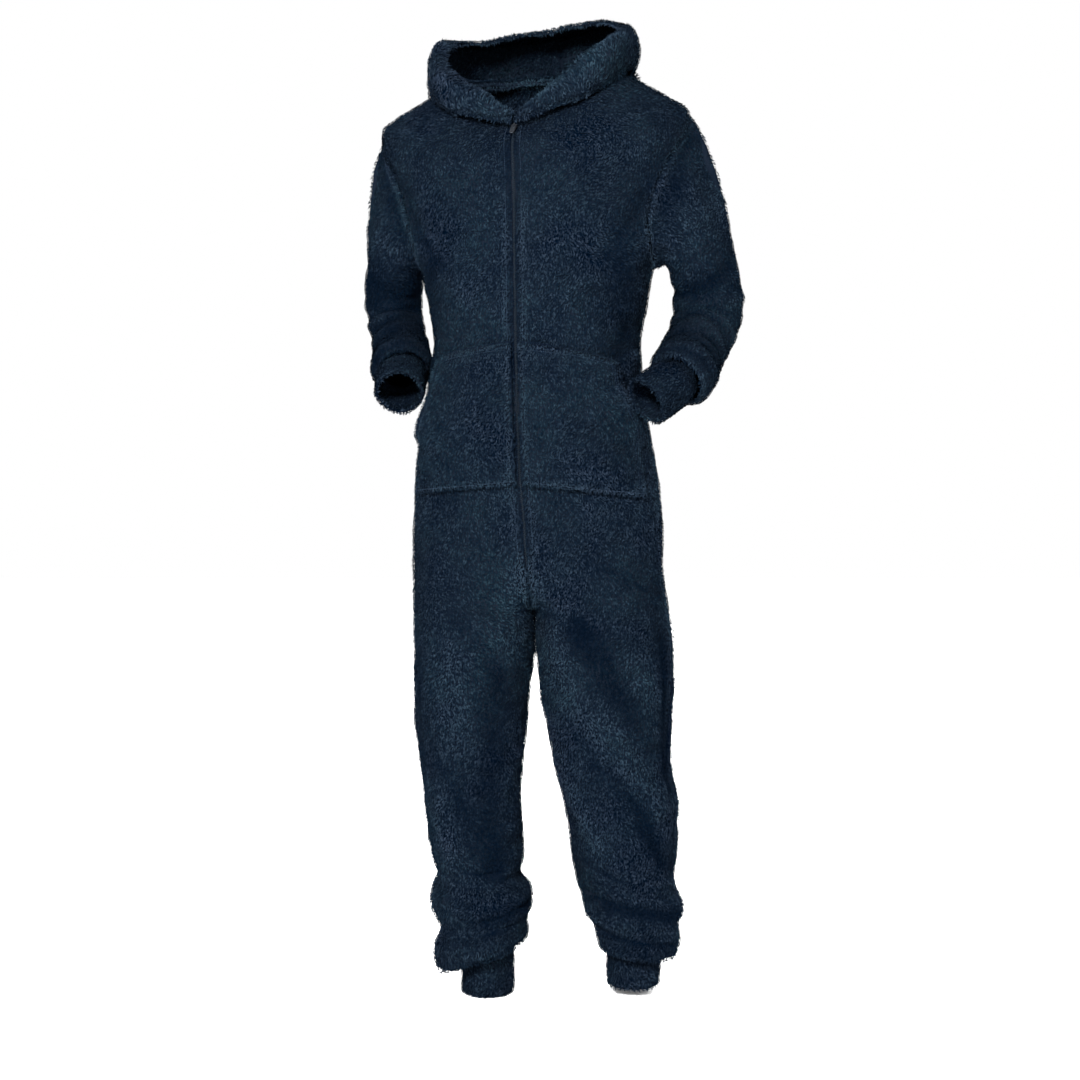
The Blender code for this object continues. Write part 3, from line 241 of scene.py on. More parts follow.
SIDE_EDGE = {
    Face.FRONT: Section("level angle", [
        (0, 90), (3, 90), (4, 79), (5, 69), (6, 64), (7, 64), (8, 73)] + UNDER_THE_ARM),
    Face.BACK: Section("level angle", [
        (0, 90), (3, 90), (4, 101), (5, 110), (6, 115), (7, 115), (8, 105)] + UNDER_THE_ARM)}
LEG_COLUMNS = "level z_in z_out centre_x half_width front_depth back_depth centre_y turn"
LEG = {
    -1: Section(LEG_COLUMNS, [
        (14, -600, -600, -95, 101.3, 122, 140, 0, 12),
        (16, -740, -740, -95, 102.3, 122, 136, 0, 10), (18, -842, -842, -95, 102, 114, 128, 0, 10),
        (19, -900, -900, -95.2, 102, 109, 118, 2, 10),
        (20, -960, -960, -97.5, 100, 105, 110, 3, 10),
        (21, -1025, -1025, -100, 97.5, 102, 103, 3, 10),
        (22, -1090, -1090, -99.5, 90, 98, 96, 3, 10),
        (23, -1155, -1155, -98.5, 84.5, 93, 96, 6, 10),
        (24, -1215, -1215, -93.5, 83.5, 87, 96, 10, 10),
        (25, -1262, -1262, -89.5, 80, 83, 88, 13, 10),
        (26, -1287, -1286, -88, 72.8, 78, 81, 15, 10),
        (27, -1312, -1312, -83.5, 86, 89, 90, 16, 10),
        (28, -1338, -1344, -82.3, 90, 93, 92, 17, 10), (29, -1366, -1384, -79, 76, 78, 77, 18, 10),
        (30, -1386, -1418, -85, 83, 82, 78, 19, 10), (31, -1406, -1464, -82, 76, 71, 68, 20, 10),
        (32, -1410, -1446, -73.2, 48, 49, 49, 20, 10)], MM),
    1: Section(LEG_COLUMNS, [
        (14, -600, -600, 120.5, 110.8, 122, 140, 0, 9),
        (16, -740, -740, 120.5, 111.8, 122, 136, 0, 8), (18, -842, -842, 122, 113, 115, 128, 0, 7),
        (19, -900, -900, 126.2, 114.8, 111, 120, 0, 7),
        (20, -960, -960, 128.5, 113, 108, 113, 0, 7),
        (21, -1025, -1025, 132.5, 105, 105, 107, 0, 7),
        (22, -1090, -1090, 137.5, 100.5, 101, 100, 0, 7),
        (23, -1155, -1155, 150.5, 97.5, 95, 100, 3, 7), (24, -1215, -1215, 155, 91, 89, 98, 7, 7),
        (25, -1262, -1268, 159, 89.5, 86, 90, 10, 7),
        (26, -1296, -1290, 163.5, 86.5, 84, 87, 12, 7), (27, -1324, -1314, 168, 83, 85, 87, 14, 7),
        (28, -1350, -1346, 178, 88, 86, 87, 15, 7), (29, -1378, -1378, 181.5, 74.5, 77, 78, 16, 7),
        (30, -1400, -1406, 185, 74.5, 76, 75, 17, 7), (31, -1420, -1436, 183.5, 65, 66, 66, 18, 7),
        (32, -1418, -1428, 177.2, 48, 49, 49, 18, 7)], MM)}
LEG_ROUNDNESS = 0.92
# side, from level, from angle, to level, to angle, width, height: the folds that the solids have.
FOLDS = [
    (1, 18.4, -58, 22.8, 40, 22, 8), (1, 17.6, -30, 22.4, 64, 22, -8),
    (1, 19.4, 24, 24, 80, 22, 7), (1, 20.4, -80, 24, -30, 22, 4), (1, 26.6, -60, 28, 52, 14, -8),
    (1, 29, -60, 30, 60, 12, -6), (-1, 17, -78, 18.8, -30, 22, 3.5), (-1, 22, 20, 25, -30, 26, -4),
    (-1, 27.6, -80, 28.4, -10, 14, -7), (1, 14.6, 150, 16.4, 100, 26, -6),
    (-1, 14.6, 150, 16.4, 100, 26, -6), (1, 18.6, 230, 20.2, 120, 26, -6),
    (-1, 18.6, 230, 20, 120, 26, -6), (1, 22.2, 200, 22.8, 110, 24, -7),
    (-1, 22, 210, 22.6, 120, 24, -7), (1, 10.2, 165, 11.2, 105, 26, -6),
    (-1, 10.4, 160, 11.6, 100, 26, -5.5), (1, 8.8, 50, 10.6, 74, 26, -4),
    (-1, 8.8, 50, 10.8, 72, 26, -4.5)]
# Finer creases laid over them, in the same columns.
CREASES = [
    (1, 18.6, 58, 26, 76, 15, -6), (1, 17.6, 74, 25, 90, 13, 5), (1, 19.6, -20, 24.6, 44, 12, -5),
    (-1, 19, 8, 25, 28, 26, 4), (-1, 19.4, -28, 25.6, -30, 22, -4.2),
    (-1, 19, 62, 25.6, 70, 16, -4.4), (-1, 15.6, -6, 18.4, -40, 10, 4.4),
    (1, 15.8, -6, 18.2, -44, 10, 4), (1, 19, -70, 21.4, -20, 9, 3.2),
    (1, 20.6, -34, 23.4, 26, 9, -3.8), (1, 21.2, 10, 23.8, 58, 8, 3.8),
    (1, 22.4, -60, 24.8, -6, 9, 3.5), (1, 23.6, 20, 25.2, 66, 8, -4.1),
    (1, 24.6, -50, 25.8, 20, 8, -3.5), (1, 25.4, 10, 26.2, 70, 7, 4.3),
    (1, 27.4, -30, 28.6, 64, 7, -3.8), (1, 28.2, -70, 28.8, 10, 7, 3.5),
    (1, 30, -40, 30.8, 50, 7, -4.3), (1, 16.6, -10, 18.8, -50, 10, 3.2),
    (1, 15.8, 30, 17.4, 70, 11, -3.5), (-1, 16.4, -10, 18.6, -56, 10, 3.5),
    (-1, 17.4, 10, 19.6, -34, 10, -3.2), (-1, 18.8, 30, 21.4, -16, 11, 2.9),
    (-1, 20.8, 46, 22.8, 2, 10, -3.2), (-1, 23, 60, 24.4, 4, 9, 3.5),
    (-1, 24.6, 40, 26, -50, 8, -4.3), (-1, 25.6, 64, 26.8, -10, 8, 4.1),
    (-1, 27, 50, 27.8, -60, 7, -3.8), (-1, 28.6, -70, 29.6, 30, 7, -4.3),
    (-1, 29.6, 70, 30.6, -30, 7, 4.1), (-1, 30.4, -60, 31, 40, 7, -3.8),
    (1, 8.2, 56, 9.6, 30, 12, 3.2), (-1, 8.2, 58, 9.8, 26, 12, 3.5),
    (1, 5.2, 62, 8.6, 48, 14, -3.8), (-1, 5, 62, 8.8, 46, 14, -4.1),
    (1, 10.8, 70, 12.2, 40, 12, -3.5), (-1, 11, 72, 12.6, 44, 12, -3.5),
    (1, 9.4, 80, 14.6, 76, 16, 3.8), (-1, 12.2, 80, 15, 62, 14, 3.2),
    (1, 6, 150, 9.6, 112, 14, -4.1), (-1, 6.2, 146, 9.8, 110, 14, -3.8),
    (1, 8.6, 176, 9.4, 120, 14, 3.5), (-1, 9, 172, 9.8, 116, 14, 3.2),
    (1, 11.6, 170, 12.4, 112, 12, 3.8), (-1, 12, 168, 12.8, 110, 12, 3.5),
    (1, 15.6, 168, 17.6, 112, 13, 3.8), (-1, 15.4, 166, 17.4, 110, 13, 4.1),
    (1, 17.6, 250, 19.2, 160, 12, -4.1), (-1, 17.4, 250, 19.4, 150, 12, -3.8),
    (1, 20.6, 240, 21.6, 130, 11, 4.3), (-1, 20.4, 236, 21.2, 126, 11, 4.1),
    (1, 23.4, 230, 24, 120, 10, -4.6), (-1, 23.2, 226, 23.9, 116, 10, -4.6),
    (1, 25, 244, 25.8, 130, 9, 4.3), (-1, 24.8, 240, 25.6, 120, 9, 4.3),
    (1, 27.2, 236, 27.8, 116, 8, -4.9), (-1, 27, 232, 27.8, 112, 8, -4.6),
    (1, 29.4, 240, 29.9, 112, 8, -4.9), (-1, 29.2, 236, 29.9, 110, 8, -4.9)]
# Soft rings and diagonals round a sleeve: station, ring angle at its middle, half the angle it
# takes, drift in stations over that half, width in stations, height. Angle 0 is the outer side
# and 90 the front.
SLEEVE_CREASES = {
    "left": [
        (-2.6, 60, 60, 0.4, 0.4, -3), (-1.2, 40, 70, -0.4, 0.36, 2.8),
        (0.2, 70, 64, 0.4, 0.32, -3.6), (1, 120, 60, -0.3, 0.26, -5),
        (1.5, 20, 70, 0.3, 0.24, 3.6), (2, 110, 76, 0.3, 0.24, -6), (2.6, 60, 70, -0.3, 0.24, 4.4),
        (3.2, 110, 80, 0.4, 0.26, -5.6), (3.9, 30, 66, -0.3, 0.28, 4),
        (4.6, 80, 72, 0.4, 0.28, -4.6), (5.4, 20, 80, -0.3, 0.26, -4),
        (6.2, 70, 80, 0.3, 0.26, 3.6), (6.9, 100, 80, 0.2, 0.22, -4), (3, 250, 70, 0.4, 0.3, -4),
        (1.2, 260, 60, -0.3, 0.3, -3.4), (5.2, 250, 70, 0.3, 0.3, 3.4)],
    "right": [
        (-2.4, 70, 60, 0.4, 0.4, -3), (-1, 50, 70, -0.4, 0.36, 2.8),
        (0.3, 60, 64, 0.4, 0.32, -3.6), (1.1, 110, 60, -0.3, 0.26, -4.6),
        (1.6, 30, 70, 0.3, 0.24, 3.6), (2.1, 100, 76, -0.3, 0.24, -5.4),
        (2.7, 50, 70, 0.3, 0.24, 4), (3.3, 100, 80, -0.4, 0.26, -5), (4, 40, 66, 0.3, 0.28, 3.6),
        (4.7, 90, 72, -0.4, 0.28, -4.4), (5.5, 30, 80, 0.3, 0.26, -3.8),
        (6.3, 60, 80, -0.3, 0.26, 3.4), (6.9, 110, 80, 0.2, 0.22, -4),
        (3.1, 250, 70, -0.4, 0.3, -4), (1.3, 260, 60, 0.3, 0.3, -3.4),
        (5.1, 250, 70, -0.3, 0.3, 3.4)]}
ARM = {
    "left": Section("station x y z out deep", [
        (0, 283.5, -22, -262, 57, 65), (1, 292.5, -8, -302, 59, 64), (2, 293.5, -8, -343, 59, 62),
        (3, 281, -26, -378, 55, 60), (4, 266.5, -55, -402, 53, 58), (5, 255.5, -84, -420, 54, 57),
        (6, 248, -106, -434, 58, 59), (7, 242, -119, -443, 56, 57),
        (8, 235.5, -127, -449, 44, 44)], MM),
    "right": Section("station x y z out deep", [
        (0, -230.5, 105, -262, 50, 58), (1, -234.5, 126, -300, 51, 58),
        (2, -233, 132, -337, 48, 58), (3, -226.5, 117, -370, 48, 57), (4, -220, 92, -395, 48, 56),
        (5, -218, 66, -414, 51, 56), (6, -215.8, 50, -425, 53.5, 59), (7, -214, 38, -433, 52, 56),
        (8, -212.5, 30, -438, 43, 43)], MM)}
WRIST_CUFF_END = {"left": (0.1850, -0.160, -0.4810), "right": (-0.2150, -0.030, -0.4690)}
WRIST_CUFF_RADIUS = 0.0430
WRIST_CUFF_SQUEEZE = {"left": 0.0084, "right": 0.0066}
WRIST_CUFF_TUCK = 0.0100
ANKLE_CUFF_HALF_WIDTH = 0.0475
ANKLE_CUFF_BOTTOM = {"left": -1.4840, "right": -1.4980}
ANKLE_CUFF_TUCK = 0.0140
ANKLE_CUFF_SQUEEZE = {"left": 0.0008, "right": 0.0016}
HOOD_COLUMNS = ("angle reach bearing turn_out turn_up wide_out wide_up high_out high_up top_out "
                "top_up edge_out edge_up")
HOOD = {
    -1: Section(HOOD_COLUMNS, [
        (0, 0.1, 4, 6, 3, 9, 7, 10, 11, 9, 15, 6, 19),
        (26, 0.6, 28, 19, -5, 28, 6, 29, 24, 20, 38, 7, 43),
        (45, 1, 48, 34, -18, 47, -7, 52, 16, 40, 36, 14, 40),
        (70, 1.2, 74, 48, -18, 58, 2, 60, 28, 46, 52, 26, 44),
        (90, 1.1, 96, 50, -12, 61, 8, 62, 40, 46, 72, 26, 64),
        (115, 1.6, 128, 68, -20, 86, -6, 92, 32, 70, 84, 38, 80),
        (140, 2.6, 156, 98, -64, 116, -44, 120, 14, 86, 82, 46, 84),
        (160, 4, 170, 106, -124, 130, -98, 136, -16, 96, 84, 46, 88),
        (180, 4.6, 180, 104, -150, 130, -124, 140, -30, 102, 86, 48, 92)], MM),
    1: Section(HOOD_COLUMNS, [
        (0, 0.1, 4, 6, 3, 9, 7, 10, 11, 9, 15, 6, 19),
        (26, 0.45, 28, 17, -4, 26, 6, 28, 22, 19, 36, 7, 40),
        (45, 0.9, 48, 32, -18, 45, -6, 50, 18, 40, 42, 14, 46),
        (70, 1.1, 74, 46, -18, 58, 2, 63, 34, 50, 58, 26, 50),
        (90, 1, 96, 50, -2, 60, 12, 63, 38, 48, 64, 28, 58),
        (115, 1.4, 128, 60, -8, 70, 4, 73, 36, 56, 80, 36, 80),
        (140, 2.4, 156, 94, -52, 108, -34, 112, 18, 80, 93, 44, 96),
        (160, 3.9, 170, 106, -118, 128, -94, 134, -12, 96, 91, 46, 95),
        (180, 4.6, 180, 104, -150, 130, -124, 140, -30, 102, 86, 48, 92)], MM)}
HOOD_UNDER_LIFT = 0.0080
POCKET_TOP = (-0.386, -0.414)
POCKET_BOTTOM = (-0.615, -0.640)
POCKET_EDGE = {
    "left": Section("drop angle", [(0.0, 54), (0.28, 59), (0.55, 66), (0.70, 67), (1.0, 65)]),
    "right": Section("drop angle", [(0.0, 49), (0.28, 53), (0.55, 62), (0.70, 66), (1.0, 65)])}
POCKET_MOUTH_END = 0.55
POCKET_FULLNESS = 0.0150
POCKET_ZIP_MARGIN = 0.0030


# ---- the garment's surfaces
class Figure:
    """The surfaces that every piece is cut from, as functions of ring level and share."""

    EASE = 0.6              # share of a panel over which the legs are drawn together
    PROBE = 0.03            # share across a panel over which its run is felt
    LEVEL_PROBE = 0.3
    SHARED = 0.10           # share of a panel whose ways out lean to its partner's

    def __init__(self, folds: Sequence[tuple]) -> None:
        """Takes its folds: rows of side, level, angle, level, angle, width and height."""
        self.folds = folds

    def body_ring(self, side: int, level: Array, angle: Array) -> Array:
        """The torso's rings.

        Args:
            side: 1 for left, -1 for right.
            level: ring levels.
            angle: degrees, 0 at the front and 180 at the back.
        Returns:
            Points.
        """
        (z_front, z_side, z_back, half_width, front_depth, back_depth, x0, y0, turn,
         lean) = BODY.at(level, "z_front", "z_side", "z_back", "half_width", "front_depth",
                         "back_depth", "centre_x", "centre_y", "turn", "lean")
        sine, cosine = np.sin(np.radians(angle)), np.cos(np.radians(angle))
        across = side * half_width * rounded(sine, BODY_ROUNDNESS)
        forward = rounded(cosine, BODY_ROUNDNESS) * np.where(cosine > 0, front_depth, back_depth)
        x, y = turned(across, forward, turn)
        z = z_side + (np.where(cosine > 0, z_front, z_back) - z_side) * cosine**2 + lean * across
        return np.stack((x0 + x, y0 + y, z), axis=-1)

    def leg_ring(self, side: int, level: Array, angle: Array) -> Array:
        """A leg's rings.

        Args:
            side: 1 for left, -1 for right.
            level: ring levels.
            angle: degrees, 0 at the front, near 90 at the side seam and -90 at the inseam.
        Returns:
            Points.
        """
        z_in, z_out, x0, half_width, front_depth, back_depth, y0, turn = LEG[side].at(
            level, "z_in", "z_out", "centre_x", "half_width", "front_depth", "back_depth",
            "centre_y", "turn")
        sine, cosine = np.sin(np.radians(angle)), np.cos(np.radians(angle))
        across = side * half_width * rounded(sine, LEG_ROUNDNESS)
        forward = rounded(cosine, LEG_ROUNDNESS) * np.where(cosine > 0, front_depth, back_depth)
        x, y = turned(across, forward, turn * (1 - np.abs(sine)))
        return np.stack((x0 + x, y0 + y, z_in + (z_out - z_in) * (1 + sine) / 2), axis=-1)

    def fold_height(self, side: int, level: Array, angle: Array) -> Array:
        """How far the folds lift the cloth.

        Args:
            side: 1 for left, -1 for right.
            level: ring levels.
            angle: degrees round the ring.
        Returns:
            Metres, less than 0 in a trough.
        """
        here = np.stack((level * CREASE_LEVEL_PITCH, np.radians(angle) * CREASE_RADIUS), axis=-1)
        height = np.zeros(here.shape[:-1])
        for of_side, level_a, angle_a, level_b, angle_b, width, rise in self.folds:
            if of_side != side:
                continue
            start = np.array((level_a * CREASE_LEVEL_PITCH, math.radians(angle_a) * CREASE_RADIUS))
            end = np.array((level_b * CREASE_LEVEL_PITCH, math.radians(angle_b) * CREASE_RADIUS))
            run = end - start
            along = np.clip(((here - start) @ run) / (run @ run), 0, 1)
            away = norm(here - start - along[..., None] * run, axis=-1) / (width / MM)
            height += rise / MM * np.exp(-away**2)
        return height

    def _open(self, side: int, face: Face, level: Array, share: Array) -> tuple[Array, Array]:
        """A panel before the legs are drawn together, with the arguments of place.

        Returns:
            Points and angles.
        """
        edge = SIDE_EDGE[face].at(level, "angle")
        if face is Face.FRONT:
            body_angle, leg_angle = edge * share, -90 + (edge + 90) * share
        else:
            body_angle, leg_angle = 180 - (180 - edge) * share, 270 - (270 - edge) * share
        legs = np.where(level > HIP_LEVEL, FORK.at(level, "share"), 0.0)
        points = ((1 - legs)[..., None] * self.body_ring(side, level, body_angle)
                  + legs[..., None] * self.leg_ring(side, level, leg_angle))
        return points, (1 - legs) * body_angle + legs * leg_angle

    def place(self, side: int, face: Face, level: Array, share: Array) -> tuple[Array, Array]:
        """Panel points before their folds, and their angles.

        Args:
            side: 1 for left, -1 for right.
            face: front or back panel.
            level: ring levels.
            share: 0 at the middle seam, 1 at the side seam.
        Returns:
            Points and angles.
        """
        level, share = np.broadcast_arrays(np.asarray(level, float), np.asarray(share, float))
        points, angle = self._open(side, face, level, share)
        closing = 1 - smooth_step((level - CROTCH_LEVEL) / LEGS_TOUCH)
        pull = np.where((level > HIP_LEVEL) & (share < self.EASE), closing, 0.0)
        own = self._open(side, face, level, np.zeros_like(share))[0]
        other = self._open(-side, face, level, np.zeros_like(share))[0]
        weight = pull * (1 - np.minimum(share, self.EASE) / self.EASE) ** 2
        return points + (other - own) / 2 * weight[..., None], angle

    def across(self, side: int, face: Face, level: Array, share: Array) -> Array:
        """Along the cloth to the side seam, with the arguments of place.

        Returns:
            Directions.
        """
        share = np.asarray(share, float)
        low = np.maximum(share - self.PROBE, 0.0)
        return unit(self.place(side, face, level, share + self.PROBE)[0]
                    - self.place(side, face, level, low)[0])

    def down(self, side: int, face: Face, level: Array, share: Array) -> Array:
        """Along the cloth from one ring to the next, with the arguments of place.

        Returns:
            Directions.
        """
        level = np.asarray(level, float)
        low = np.maximum(level - self.LEVEL_PROBE, 0.0)
        high = np.minimum(level + self.LEVEL_PROBE, ANKLE_LEVEL)
        return unit(self.place(side, face, high, share)[0] - self.place(side, face, low, share)[0])

    def _raw_outward(self, side: int, face: Face, level: Array, share: Array) -> Array:
        """The way out of the cloth by its run alone."""
        normal = unit(np.cross(self.across(side, face, level, share),
                               self.down(side, face, level, share)))
        return normal * (-1 if (face is Face.FRONT) == (side > 0) else 1)

    def outward(self, side: int, face: Face, level: Array, share: Array) -> Array:
        """The way out of the cloth, shared at a middle seam, with the arguments of place.

        Returns:
            Directions.
        """
        level, share = np.broadcast_arrays(np.asarray(level, float), np.asarray(share, float))
        normal = self._raw_outward(side, face, level, share)
        zero = np.zeros_like(share)
        own = self._raw_outward(side, face, level, zero)
        other_face = Face.BACK if face is Face.FRONT else Face.FRONT
        partner = np.where((level < CROTCH_LEVEL)[..., None],
                           self._raw_outward(-side, face, level, zero),
                           self._raw_outward(side, other_face, level, zero))
        near = np.clip(1 - share / self.SHARED, 0, 1)[..., None]
        return unit(normal + near * (unit(own + partner) - own))

    def panel(self, side: int, face: Face, level: Array, share: Array,
              lift: Array | float = 0.0) -> Array:
        """A panel's outer face with its folds, with the arguments of place.

        Args:
            lift: how far it is moved out.
        Returns:
            Points.
        """
        points, angle = self.place(side, face, level, share)
        height = self.fold_height(side, np.broadcast_to(level, angle.shape), angle) + lift
        return points + self.outward(side, face, level, share) * height[..., None]


PLAIN = Figure(FOLDS)
CREASED = Figure(FOLDS + CREASES)


def waves(points: Array, size: float, seed: int, count: int = 14) -> Array:
    """A soft unevenness.

    Args:
        points: where it is read.
        size: of its humps, in metres.
        seed: fixes its waves.
        count: of its waves.
    Returns:
        Values from about -1 to 1.
    """
    rng = np.random.default_rng(seed)
    total = np.zeros(points.shape[:-1])
    for _ in range(count):
        way = unit(rng.normal(size=3)) * 2 * math.pi / (size * rng.uniform(1.4, 2.8))
        total += np.sin(points @ way + rng.uniform(0, 2 * math.pi))
    return total / math.sqrt(count / 2) / 1.6


# ---- cloth and its pile
@dataclass
class Cloth:
    """A grid of points on a piece's outer face, with its ways out."""
    WELT_LINE = 0.0060      # of a welt's crest, from its seam
    WELT_WIDTH = 0.0036
    SEAM_WIDTH = 0.0035
    SEAM_SHADE = 0.0022

    points: Array  # rows by columns by 3, on the tips of the pile
    ways: Array  # outward directions of the same shape
    tube: bool = False  # whether the last column joins the first
    # How much each point belongs to a seam's raised edge, where the pile gets a painted highlight.
    welt: Array = field(default_factory=lambda: np.zeros(0))
    # How much deeper the ground lies there.
    sink: Array = field(default_factory=lambda: np.zeros(0))
    # Painted shading of the pile: painted shade from -1 in a trough or seam to a painted highlight
    # at 1 on a ridge.
    painted_shading: Array = field(default_factory=lambda: np.zeros(0))

    def __post_init__(self) -> None:
        """Starts the welt, the sink and the relief at nothing."""
        for name in ("welt", "sink", "painted_shading"):
            if getattr(self, name).size == 0:
                setattr(self, name, np.zeros(self.points.shape[:2]))

    def distances(self) -> dict[str, Array]:
        """How far each point is from the grid's edges, along the cloth.

        Returns:
            Distances for each of the four edges.
        """
        across = np.zeros(self.points.shape[:2])
        across[:, 1:] = np.cumsum(norm(np.diff(self.points, axis=1), axis=2), axis=1)
        down = np.zeros(self.points.shape[:2])
        down[1:] = np.cumsum(norm(np.diff(self.points, axis=0), axis=2), axis=0)
        return {"first": across, "last": across[:, -1:] - across,
                "top": down, "bottom": down[-1:] - down}

    def sew(self, *edges: str, depth: float = 0.0016, swell: float = 0.0016,
            weight: Array | float = 1.0) -> None:
        """Draws the cloth in at seamed edges, with a low welt beside each.

        Args:
            edges: first, last, top or bottom.
            depth: by which a seam is drawn in.
            swell: height of its welt.
            weight: how tight the seam is, 0 to 1.
        """
        away = self.distances()
        for name in edges:
            d = away[name]
            welt = np.exp(-((d - self.WELT_LINE) / self.WELT_WIDTH) ** 2) * weight
            height = -depth * np.exp(-(d / self.SEAM_WIDTH) ** 2) * weight + swell * welt
            self.points = self.points + self.ways * height[..., None]
            self.welt = np.maximum(self.welt, welt)
            # Painted shade along the seam's furrow.
            shaded = 0.7 * np.exp(-(d / self.SEAM_SHADE) ** 2) * weight
            self.painted_shading = np.maximum(self.painted_shading - shaded, -1)

    def groove(self, line: Array, depth: float, width: float) -> None:
        """Pulls the cloth in along a row of stitches.

        Args:
            line: each point's distance from the row.
            depth: by which it is pulled in.
            width: of the groove.
        """
        pulled = np.exp(-(line / width) ** 2)
        self.points = self.points - self.ways * (depth * pulled)[..., None]
        # Painted shade in the groove, and a painted highlight along its edge.
        self.painted_shading = np.maximum(self.painted_shading - 0.6 * pulled, -1)
        self.welt = np.maximum(self.welt, 0.7 * np.exp(-((line - 1.6 * width) / width) ** 2))

    def ruffle(self, size: float, height: float, seed: int) -> None:
        """Soft uneven lumps in the pile."""
        self.points = self.points + self.ways * (height * waves(self.points, size, seed))[..., None]


def thinned(cloth: Cloth) -> Cloth:
    """Every second row and column of a cloth, with its edges kept.

    Args:
        cloth: the fine one.
    Returns:
        The coarse one.
    """
    rows, columns = (np.unique(np.append(np.arange(0, n, 2), n - 1))
                     for n in cloth.points.shape[:2])
    if cloth.tube:
        columns = np.arange(0, cloth.points.shape[1], 2)
    grid = np.ix_(rows, columns)
    return Cloth(cloth.points[grid], cloth.ways[grid], cloth.tube, cloth.welt[grid],
                 cloth.sink[grid])


def lay_mesh(name: str, vertices: Array, faces: Array,
             finish: Material) -> Object:
    """Makes a smooth object.

    Args:
        name: the object's.
        vertices: a row for each.
        faces: a row of vertex numbers for each, all with three corners or all with four.
        finish: its material.
    Returns:
        The object, in the scene.
    """
    mesh = bpy.data.meshes.new(name)
    sides = faces.shape[1]
    mesh.vertices.add(len(vertices))
    mesh.vertices.foreach_set("co", vertices.astype(np.float32).ravel())
    mesh.loops.add(faces.size)
    mesh.loops.foreach_set("vertex_index", faces.astype(np.int32).ravel())
    mesh.polygons.add(len(faces))
    mesh.polygons.foreach_set("loop_start", np.arange(0, faces.size, sides, dtype=np.int32))
    mesh.polygons.foreach_set("use_smooth", np.ones(len(faces), bool))
    mesh.materials.append(finish)
    mesh.update(calc_edges=True)
    mesh.validate()
    made = bpy.data.objects.new(name, mesh)
    bpy.context.scene.collection.objects.link(made)
    return made


def shell(name: str, cloth: Cloth, finish: Material, low: float = PILE_DEPTH,
          high: float = WALL) -> Object:
    """A closed thin wall under a cloth's face, such as a piece's knitted ground.

    Args:
        name: the object's.
        cloth: whose face it is.
        finish: its material.
        low: depth of the wall's outer side.
        high: depth of its inner side.
    Returns:
        The object.
    """
    rows, columns, _ = cloth.points.shape
    sink = cloth.sink[..., None]
    outer = (cloth.points - cloth.ways * (low + sink)).reshape(-1, 3)
    inner = (cloth.points - cloth.ways * (high + sink)).reshape(-1, 3)
    last = columns if cloth.tube else columns - 1
    i, j = np.meshgrid(np.arange(rows - 1), np.arange(last), indexing="ij")
    i, j = i.ravel(), j.ravel()
    k = (j + 1) % columns
    quads = np.stack((i * columns + j, i * columns + k, (i + 1) * columns + k,
                      (i + 1) * columns + j), axis=1)
    offset = rows * columns
    faces = [quads, offset + quads[:, ::-1]]
    j = np.arange(last)
    k = (j + 1) % columns
    for row, flip in ((0, 1), (rows - 1, -1)):
        a, b = row * columns + j, row * columns + k
        faces.append(np.stack((b, a, offset + a, offset + b)[::flip], axis=1))
    if not cloth.tube:
        i = np.arange(rows - 1)
        for column, flip in ((0, -1), (columns - 1, 1)):
            a, b = i * columns + column, (i + 1) * columns + column
            faces.append(np.stack((b, a, offset + a, offset + b)[::flip], axis=1))
    made = lay_mesh(name, np.concatenate((outer, inner)), np.concatenate(faces), finish)
    first = made.data.polygons[len(quads) // 2]
    way = cloth.ways.reshape(-1, 3)[quads[len(quads) // 2, 0]]
    if np.dot(np.array(first.normal), way) < 0:
        made.data.flip_normals()
    return made


@dataclass(frozen=True)
class Nap:
    """How a pile grows."""
    length: float = 0.0058  # of a tuft, in metres
    width: float = 0.0020  # of a tuft at its root
    spacing: float = 0.0024  # between tufts
    rise: float = 56.0  # degrees that a tuft's root stands up
    lie: float = 5.0  # degrees that its tip stands up
    swirl: float = 22.0  # degrees that the nap wanders from straight down the grid


